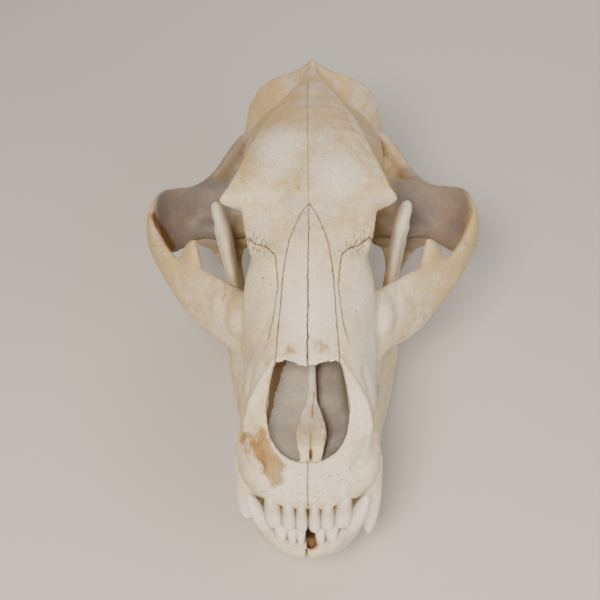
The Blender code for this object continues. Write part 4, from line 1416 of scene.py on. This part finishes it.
@dataclass
class LowerJaw:
    """One half of the lower jaw, without its teeth."""

    side: Side
    grain: float = 1.1
    passes: int = 12
    # Centre x, y, z, half height, half thickness, lean of the top
    body: Rows = (
        (-3, 15.6, 30, 27, 11, -0.80), (12, 17, 30, 27, 11, -0.80), (24, 26, 30, 28, 11, -0.60),
        (32, 50, 28, 28.5, 10.5, -0.20), (37, 80, 28, 28.5, 10.5, 0.0), (42, 110, 29.5, 28.5, 10.5, 0.0),
        (49, 140, 31, 28.5, 10.5, 0.1), (55, 168, 32, 29, 10, 0.1), (60, 196, 33, 33, 8.5, 0.1),
        (62, 220, 34, 35.0, 7, 0.0), (64, 243, 36.5, 37.2, 6.5, 0.0), (64.5, 257, 42, 25, 5.5, 0.0),
        (64.5, 267, 46, 9, 3.5, 0.0),
    )
    # Centre x, y, z, half length, half thickness
    blade: Rows = (
        (60, 222, 30, 34, 6), (61, 222, 55, 31, 6.5), (62.5, 221, 80, 25, 6), (64.5, 222, 104, 20, 5.6),
        (67, 226, 126, 15, 5.6), (70, 229.5, 140, 10, 5), (71.8, 231, 147, 4, 3),
    )
    neck: Rows = ((62, 234, 30, 24, 5), (64, 241, 54, 19, 6), (67, 250, 70, 12, 9), (71, 258, 81, 6, 17))
    knobs: Places = (
        ((71, 259, 82), (25, 7.5, 7.5)),  # condyle
        ((42, 150, 49), (9, 46, 10.5)),  # ledge of the cheek teeth
        ((22.5, 22, 42), (9.5, 11.5, 16)),  # canine socket
    )
    # Openings for nerves: centre and radii
    pits: Places = (
        ((43, 52, 30), (5, 2.6, 1.9)), ((46, 72, 31), (5, 2.2, 1.6)), ((53, 212, 56), (5, 5, 3.2)),
    )
    lost_socket: tuple[Row, Row] = ((2.7, 0.4, 56.5), (3.9, 5.8, 9.5))
    front_shift: float = -1.3  # the jaw's front end stands a little to the animal's right
    chin_cleft: tuple[Row, Row] = ((0, -7.5, 45), (1.5, 4.5, 15))
    # Path, width and height of the ridges; centre, radii and height of the swellings and dents
    ridges: Lines = (
        (((69, 196, 40), (68, 206, 60), (68, 212, 84), (70, 216, 108), (72, 222, 130)), 3.4, 1.3),
        (((66, 232, 18), (67, 250, 26), (66, 262, 42)), 4.0, 1.2),
        (((30, 14, 52), (33, 26, 34), (35, 40, 24)), 5.5, 1.2),  # root of the canine
    )
    swells: Marks = (
        ((70, 222, 74), (9, 19, 30), -2.2),  # hollow of the biting muscle
        ((12, 8, 40), (6, 8, 8), -0.8),
    )
    incisor_roots: Rows = ((3.9, 3), (9.9, 4), (17.1, 6.5))  # x, y
    cheek_roots: Row = (92, 106, 114, 127, 140, 154, 167, 178)  # y
    # Marks: centre, radii and strength. At the chin and in the pit they are painted shade, in the pit with
    # dirt; the pale on the coronoid blade is painted light, that on the chin is bleaching.
    dirty_chin: Marks = (((8, 14, 57), (16, 9, 6), 1.1), ((3, 16, 48), (9, 14, 15), 1.3))
    pit_dirt_and_shade: Marks = (((53, 212, 56), (5, 8, 7), 0.9),)
    dirty_socket: Marks = (((1.6, 0.5, 55), (5.6, 7.5, 12), 1.6),)
    pale: Marks = (((14, 8, 40), (20, 20, 26), 0.5), ((68, 222, 128), (16, 30, 44), 0.7))

    def build(self) -> Object:
        """Fuses, smooths and sculpts the half jaw.

        Returns:
            The half jaw in skull millimetres.
        """
        jaw = swept(f"mandible_{self.side.label}", refine(self.body, 4), self.side, 28)
        pieces = [
            stack("blade", refine(self.blade, 4), self.side, 10, 28),
            stack("neck", refine(self.neck, 3), self.side, 0.0, 20),
        ]
        pieces += balls("knob", self.knobs, self.side)
        combine(jaw, "UNION", pieces)
        melt(jaw, self.grain, self.passes)
        clay = Sculptor(jaw)
        for line in self.ridges:
            clay.ridge(*line)
        for swelling in self.swells:
            clay.swell(*swelling)
        for x, y in self.incisor_roots:
            clay.ridge(((x, y - 3, 54), (x, y + 1, 44)), 2.2, 0.8)
        for y in self.cheek_roots:
            clay.ridge(((46 + (y - 92) * 0.1, y, 56), (47 + (y - 92) * 0.1, y, 46)), 3.2, 0.6)
        clay.roughen(24, 0.6)
        clay.roughen(8, 0.35)
        clay.roughen(3.5, 0.7, fading(clay.points[:, 0], 5) * (clay.points[:, 1] < 60))  # where the halves meet
        clay.press()
        tools = balls("pit", self.pits, self.side) + [ball("cleft", *self.chin_cleft)]
        if self.side is Side.LEFT:
            tools.append(ball("socket", *self.lost_socket))
        combine(jaw, "DIFFERENCE", tools)
        near, far = self.side.value * GAP / 2, self.side.value * ASIDE
        outline = [(near, AHEAD), (far, AHEAD), (far, BEHIND), (near, BEHIND)]
        combine(jaw, "INTERSECT", [block("table", outline, 0.0, ABOVE)])
        points = points_of(jaw)
        points[:, 0] += self.front_shift * np.clip((50 - points[:, 1]) / 45, 0, 1)
        move_points(jaw, points)
        return jaw

    def dress(self, jaw: Object, material: Material) -> None:
        """Stores where the jaw is dirty, bleached and porous, where shade and light are painted on it, and
        gives it its material.

        Args:
            jaw: The half jaw in skull millimetres.
            material: Material that reads the marks.
        """
        points = points_of(jaw)
        mirrored = folded(points)
        # Painted shade: darker where the jaw's own walls stand close, and at the chin behind the incisors.
        dirt_and_shade = np.maximum(np.clip(hollowness(jaw) * 1.2 - 0.14, 0, 0.7), strongest(mirrored, self.dirty_chin))
        dirt_and_shade *= 1 - 0.85 * soft_blob(mirrored, (68, 222, 122), (14, 40, 46), 2)
        dirt_and_shade = np.maximum(dirt_and_shade, strongest(mirrored, self.pit_dirt_and_shade))
        if self.side is Side.LEFT:
            dirt_and_shade = np.maximum(dirt_and_shade, strongest(points, self.dirty_socket))
        grey = 0.6 * soft_blob(mirrored, (68, 240, 92), (12, 16, 34), 1.6) * (mirrored[:, 1] > 226)
        grey = np.maximum(grey, 0.75 * soft_blob(mirrored, (80, 257, 84), (24, 12, 10), 2))
        porous = 0.3 + 0.7 * soft_blob(mirrored, (12, 8, 36), (24, 24, 26))
        # Green: bleaching at the chin and painted light on the coronoid blade.
        dress(jaw, material, wear_and_shade=(dirt_and_shade, strongest(mirrored, self.pale), 0, porous),
              seam=(FAR_FROM_SEAM, 0, FAR_FROM_SEAM, 0), skin=(grey, 0, 0, 0), brow=(FAR_FROM_SEAM, 0, 0, 0))


# ---------------------------------------------------------------- the teeth


@dataclass
class FrontTeeth:
    """Incisors and canines, each from its root to its tip."""

    # Gum x, y, z, tip x, y, z, half width and half depth
    upper_incisors: Rows = (
        (4.3, 12.2, 86, 4.2, 2.0, 65.6, 4.35, 5.2), (12.7, 13.6, 86.5, 12.4, 3.3, 65.4, 5.2, 5.8),
        (24.0, 18.6, 88, 21.7, 6.0, 64.6, 6.5, 7.0),
    )
    lower_incisors: Rows = (
        (3.5, -1.0, 48, 3.4, 4.8, 65.5, 3.1, 4.4), (9.4, 0.0, 48.5, 9.1, 5.6, 66.0, 3.7, 4.8),
        (16.9, 2.6, 49.5, 16.4, 7.6, 66.5, 4.8, 5.2),
    )
    lower_shift: float = -1.4  # the lower incisors stand a little to the animal's right
    upper_canine: Row = (41.0, 38, 84, 40.2, 19, 37, 8.2, 10.5)
    lower_canine: Row = (25.0, 15, 48, 38.6, 14.5, 90, 6.8, 8.4)
    broken_level: float = 57.0  # the right upper canine has lost its tip
    incisor_profile: Rows = (  # share of the way to the tip, width, depth
        (-0.30, 0.62, 0.62), (-0.05, 0.72, 0.84), (0.15, 0.82, 1.0), (0.38, 0.94, 0.98), (0.58, 1.0, 0.86),
        (0.75, 0.98, 0.68), (0.88, 0.84, 0.48), (0.96, 0.56, 0.28), (1.0, 0.20, 0.10),
    )
    worn_profile: Rows = (  # share of the way to the worn, flat tip, width, depth
        (-0.10, 0.62, 0.60), (0.05, 0.72, 0.84), (0.22, 0.82, 0.98), (0.45, 0.94, 0.96), (0.66, 1.0, 0.86),
        (0.82, 1.04, 0.66), (0.93, 1.0, 0.52), (0.985, 0.86, 0.40), (1.0, 0.55, 0.24),
    )
    canine_profile: Rows = (  # share of the way to the tip, size
        (-0.24, 0.90), (-0.05, 0.97), (0.12, 1.0), (0.30, 0.97), (0.46, 0.88), (0.60, 0.78), (0.74, 0.63),
        (0.86, 0.46), (0.94, 0.31), (0.98, 0.20), (1.0, 0.10),
    )

    def incisor(self, name: str, sizes: Row, side: Side, profile: Rows, shift: float = 0.0) -> Object:
        """Makes a chisel-shaped tooth.

        Args:
            name: Name of the object.
            sizes: One row of the incisors.
            side: Side of the skull.
            profile: How wide and deep it is on the way to its tip.
            shift: How far it stands to the left.

        Returns:
            The tooth.
        """
        x, y, z, tip_x, tip_y, tip_z, half_width, half_depth = sizes
        aside = Vector((shift * side.value, 0, 0))
        gum, tip = Vector((x, y, z)) + aside, Vector((tip_x, tip_y, tip_z)) + aside
        rings = []
        for share, wide, deep in refine(profile, 2):
            across, depth = Vector((half_width * wide, 0, 0)), Vector((0, half_depth * deep, 0))
            rings.append(oval_ring(gum.lerp(tip, share), across, depth, 20))
        return loft(name, flip(rings, side))

    def canine(self, name: str, sizes: Row, side: Side, bend: float, cut: float | None = None) -> Object:
        """Makes a cone-shaped tooth that curves forward.

        Args:
            name: Name of the object.
            sizes: Gum, tip, half width and half depth.
            side: Side of the skull.
            bend: How far its middle stands forward.
            cut: Level where its tip broke off, or None.

        Returns:
            The tooth.
        """
        x, y, z, tip_x, tip_y, tip_z, half_width, half_depth = sizes
        gum, tip = Vector((x, y, z)), Vector((tip_x, tip_y, tip_z))
        rings = []
        for share, size in refine(self.canine_profile, 2):
            centre = gum.lerp(tip, share) + Vector((0, -bend * math.sin(math.pi * max(share, 0)), 0))
            broken = cut is not None and (centre.z - cut) * (gum.z - cut) < 0
            if broken:
                centre.z = cut
            ring = []
            for step in range(28):
                turn = math.tau * step / 28
                # Two low ridges, at the inner front and at the back, run to the tip.
                ridge = 1 + 0.07 * math.exp(-((math.remainder(turn - 4.1, math.tau) / 0.22) ** 2))
                ridge += 0.06 * math.exp(-((math.remainder(turn - 1.5, math.tau) / 0.22) ** 2))
                point = centre + Vector((half_width * size * ridge * math.cos(turn),
                                         half_depth * size * ridge * math.sin(turn), 0))
                if broken:
                    point.z += 0.9 * ripple(turn * 6, 5.0, 3.0)
                ring.append(point)
            rings.append(ring)
            if broken:
                middle = centre + Vector((0, 0, 1.6 if gum.z > cut else -1.6))
                rings.append([middle.lerp(point, 0.5) for point in ring])
                break
        return loft(name, flip(rings, side))

    def build(self) -> dict[str, Object]:
        """Makes all front teeth; the left lower first incisor was lost."""
        made = {}
        for side in Side:
            for number, sizes in enumerate(self.upper_incisors, 1):
                name = f"upper_incisor_{number}_{side.label}"
                made[name] = self.incisor(name, sizes, side, self.incisor_profile)
            for number, sizes in enumerate(self.lower_incisors, 1):
                if (side, number) != (Side.LEFT, 1):
                    name = f"lower_incisor_{number}_{side.label}"
                    made[name] = self.incisor(name, sizes, side, self.worn_profile, self.lower_shift)
            cut = self.broken_level if side is Side.RIGHT else None
            name = f"upper_canine_{side.label}"
            made[name] = self.canine(name, self.upper_canine, side, 2.5, cut)
            name = f"lower_canine_{side.label}"
            made[name] = self.canine(name, self.lower_canine, side, 2.0)
        return made


@dataclass
class CheekTeeth:
    """Low, blunt grinding teeth of one side and jaw."""

    side: Side
    jaw: Jaw
    cusp: float = 3.4
    grain: float = 0.6
    # Centre x, y, half width, half length, turn in degrees, cusps along and across
    upper: Rows = (
        (43, 110, 6.8, 8.8, 4, 2, 1), (41, 132, 9.8, 12.2, 2, 2, 2), (39, 165, 10.2, 20.0, -3, 3, 2),
    )
    lower: Rows = (
        (37, 99, 4.6, 7.6, 4, 1, 1), (38.5, 120, 6.2, 12.6, 4, 2, 2), (41, 147, 8.8, 13.6, 4, 2, 2),
        (43, 172, 8.4, 10.6, 4, 1, 1),
    )

    def crown(self, sizes: Row) -> Object:
        """Makes one crown with its cusps melted together.

        Args:
            sizes: One row of the teeth.

        Returns:
            The tooth.
        """
        x, y, half_width, half_length, degrees, rows, columns = sizes
        down, turn = self.jaw.value, math.radians(degrees)
        level = BITE + down * GAP / 2
        stations = [(x, y, level + down * height, half_length * size, half_width * size)
                    for height, size in ((15, 0.82), (8, 0.93), (4.5, 1.0), (self.cusp * 0.55, 0.82),
                                         (self.cusp * 0.7, 0.4))]
        made = stack("crown", stations, self.side, degrees, 24)
        cusps = []
        for row in range(int(rows)):
            for column in range(int(columns)):
                along = (row - (rows - 1) / 2) * 2 * half_length * 0.62 / rows * 1.25
                across = (column - (columns - 1) / 2) * half_width * 0.95
                cx = x + math.sin(turn) * along + math.cos(turn) * across
                cy = y + math.cos(turn) * along - math.sin(turn) * across
                reach = half_length * 0.9 / rows
                cone = [(cx, cy, level + down * h, reach * s, half_width * 0.45 * s)
                        for h, s in ((self.cusp * 1.8, 1.1), (self.cusp * 0.7, 0.8), (0.0, 0.22))]
                cusps.append(stack("cusp", cone, self.side, degrees, 14))
        combine(made, "UNION", cusps)
        melt(made, self.grain, 3)
        clay = Sculptor(made)
        clay.roughen(2.2, 0.35)
        clay.press()
        return made

    def build(self) -> Object:
        """Makes the row as one object."""
        teeth = [self.crown(sizes) for sizes in (self.upper if self.jaw is Jaw.UPPER else self.lower)]
        row = teeth[0]
        row.name = f"{self.jaw.name.lower()}_cheek_teeth_{self.side.label}"
        return combine(row, "UNION", teeth[1:])


def dress_tooth(tooth: Object, gum: float, reach: float, material: Material) -> None:
    """Stores how near each point is to the gum and how far it faces sideways, for tartar and painted shade, and
    gives the tooth its material.

    Args:
        tooth: Tooth in skull millimetres.
        gum: Level of the gum.
        reach: Distance over which the neck's colour fades, long on a canine, which is clean.
        material: Material that reads it.
    """
    neck = np.clip(1 - np.abs(points_of(tooth)[:, 2] - gum) / reach, 0, 1)
    # Tartar and painted shade: darker on the flanks that face sideways, on all teeth but the canines.
    tartar_and_shade = 0.85 * np.abs(normals_of(tooth)[:, 0]) ** 3 * (reach < 12)
    dress(tooth, material, wear_and_shade=(neck, tartar_and_shade, 0, 1))


# ---------------------------------------------------------------- the studio


@dataclass
class Studio:
    """Pale floor, soft lights and a camera at the photograph's angle."""

    # Camera fitted to the skull's landmarks: what it looks at in skull millimetres, how far
    # away it is, and its angles in degrees
    target: Row = (-8.5, 180.0, 96.5)
    distance: float = 781.6
    down: float = 47.35
    yaw: float = -3.02
    roll: float = -2.39
    lens: float = 62.6

    def add_camera(self) -> None:
        """Sets the scene's camera."""
        down, yaw, roll = (math.radians(a) for a in (self.down, self.yaw, self.roll))
        ahead = Vector((math.sin(yaw) * math.cos(down), math.cos(yaw) * math.cos(down), -math.sin(down)))
        right = Vector((math.cos(yaw), -math.sin(yaw), 0))
        up = right.cross(ahead)
        level_right, level_up = right.copy(), up.copy()
        right = level_right * math.cos(roll) + level_up * math.sin(roll)
        up = level_up * math.cos(roll) - level_right * math.sin(roll)
        aim = (Vector(self.target) - Vector((0, FRONT_TO_ORIGIN, 0))) * MM
        place = aim - ahead * self.distance * MM
        data = bpy.data.cameras.new("camera")
        data.lens, data.sensor_width, data.sensor_fit = self.lens, 36.0, "HORIZONTAL"
        data.clip_start, data.clip_end = 0.05, 20.0
        camera = bpy.data.objects.new("camera", data)
        turned = Matrix((right, up, -ahead)).transposed().to_4x4()
        camera.matrix_world = Matrix.Translation(place) @ turned
        bpy.context.scene.collection.objects.link(camera)
        bpy.context.scene.camera = camera

    def add_light(self, name: str, place: Row, size: float, watts: float, colour: str) -> None:
        """Adds a square soft light that faces the skull.

        Args:
            name: Name of the light.
            place: Where it is, in metres.
            size: Its width in metres.
            watts: Its power.
            colour: Its sRGB colour.
        """
        data = bpy.data.lights.new(name, "AREA")
        data.shape, data.size, data.energy = "SQUARE", size, watts
        data.color = linear(colour)[:3]
        lamp = bpy.data.objects.new(name, data)
        lamp.location = place
        lamp.rotation_euler = (Vector((0, 0, 0.1)) - Vector(place)).to_track_quat("-Z", "Y").to_euler()
        bpy.context.scene.collection.objects.link(lamp)

    def add_floor(self) -> Object:
        """Lays the floor and returns it."""
        shape = bmesh.new()
        bmesh.ops.create_grid(shape, x_segments=2, y_segments=2, size=3.0)
        floor = mesh_object("floor", shape)
        floor.data.materials.append(MattFloor().make())
        return floor

    def build(self) -> None:
        """Sets up floor, lights, world and camera."""
        self.add_floor()
        self.add_light("key", (-0.26, -0.90, 1.18), 0.5, 22.5, "#fff1de")
        self.add_light("fill", (0.85, -0.95, 0.85), 0.9, 8, "#f6f5f7")
        self.add_light("rim", (0.3, 1.1, 1.0), 0.8, 6, "#fff8ee")
        world = bpy.data.worlds.new("studio")
        world.use_nodes = True
        background = world.node_tree.nodes["Background"]
        background.inputs["Color"].default_value = linear("#eceae6")
        background.inputs["Strength"].default_value = 0.25
        bpy.context.scene.world = world
        self.add_camera()


def finish_piece(piece: Object, nodes: Sequence[str] = ()) -> None:
    """Places a piece in the frame, hangs it on its body and logs it.

    Args:
        piece: Dressed piece in skull millimetres.
        nodes: CAD nodes that it stands for.
    """
    place_in_frame(piece)
    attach(piece, BODY)
    if nodes:
        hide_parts(*nodes)
    log.info("%s: %d triangles", piece.name, triangles_of(piece))


def build_bones() -> None:
    """Builds, parts and dresses the bones of the upper skull and of the lower jaw."""
    streaked, plain = DryBone().make(True), DryBone().make(False)
    mass = BoneMass().build()
    Hollows().cut(mass)
    log.info("bone mass: %d triangles", triangles_of(mass))
    weathering = Weathering()
    for node, bone in Joints().part(mass).items():
        bone.name = f"bone_{node}"
        keep_largest(bone)
        thin_to(bone, MOST_TRIANGLES)
        weathering.dress(bone, plain if node.startswith("zygomatic") else streaked)
        finish_piece(bone, (node,))
    for side in Side:
        half = LowerJaw(side)
        jaw = half.build()
        jaw.name = f"bone_mandible_{side.label}"
        keep_largest(jaw)
        thin_to(jaw, MOST_TRIANGLES)
        half.dress(jaw, plain)
        finish_piece(jaw, (f"mandible_{side.label}",))


def build_teeth() -> None:
    """Builds and dresses all the teeth."""
    enamel = ToothEnamel().make()
    for name, tooth in FrontTeeth().build().items():
        upper = name.startswith("upper")
        long = "canine" in name
        dress_tooth(tooth, 82.0 if upper else 54.0, 16.0 if long else 9.0, enamel)
        finish_piece(tooth)
    for jaw in Jaw:
        for side in Side:
            row = CheekTeeth(side, jaw).build()
            dress_tooth(row, BITE + 11.0 * jaw.value, 8.0, enamel)
            finish_piece(row)


def main() -> None:
    """Loads the frame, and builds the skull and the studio."""
    logging.basicConfig(level=logging.INFO, format="%(name)s %(message)s")
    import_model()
    build_bones()
    build_teeth()
    Studio().build()


if __name__ == "__main__":
    main()
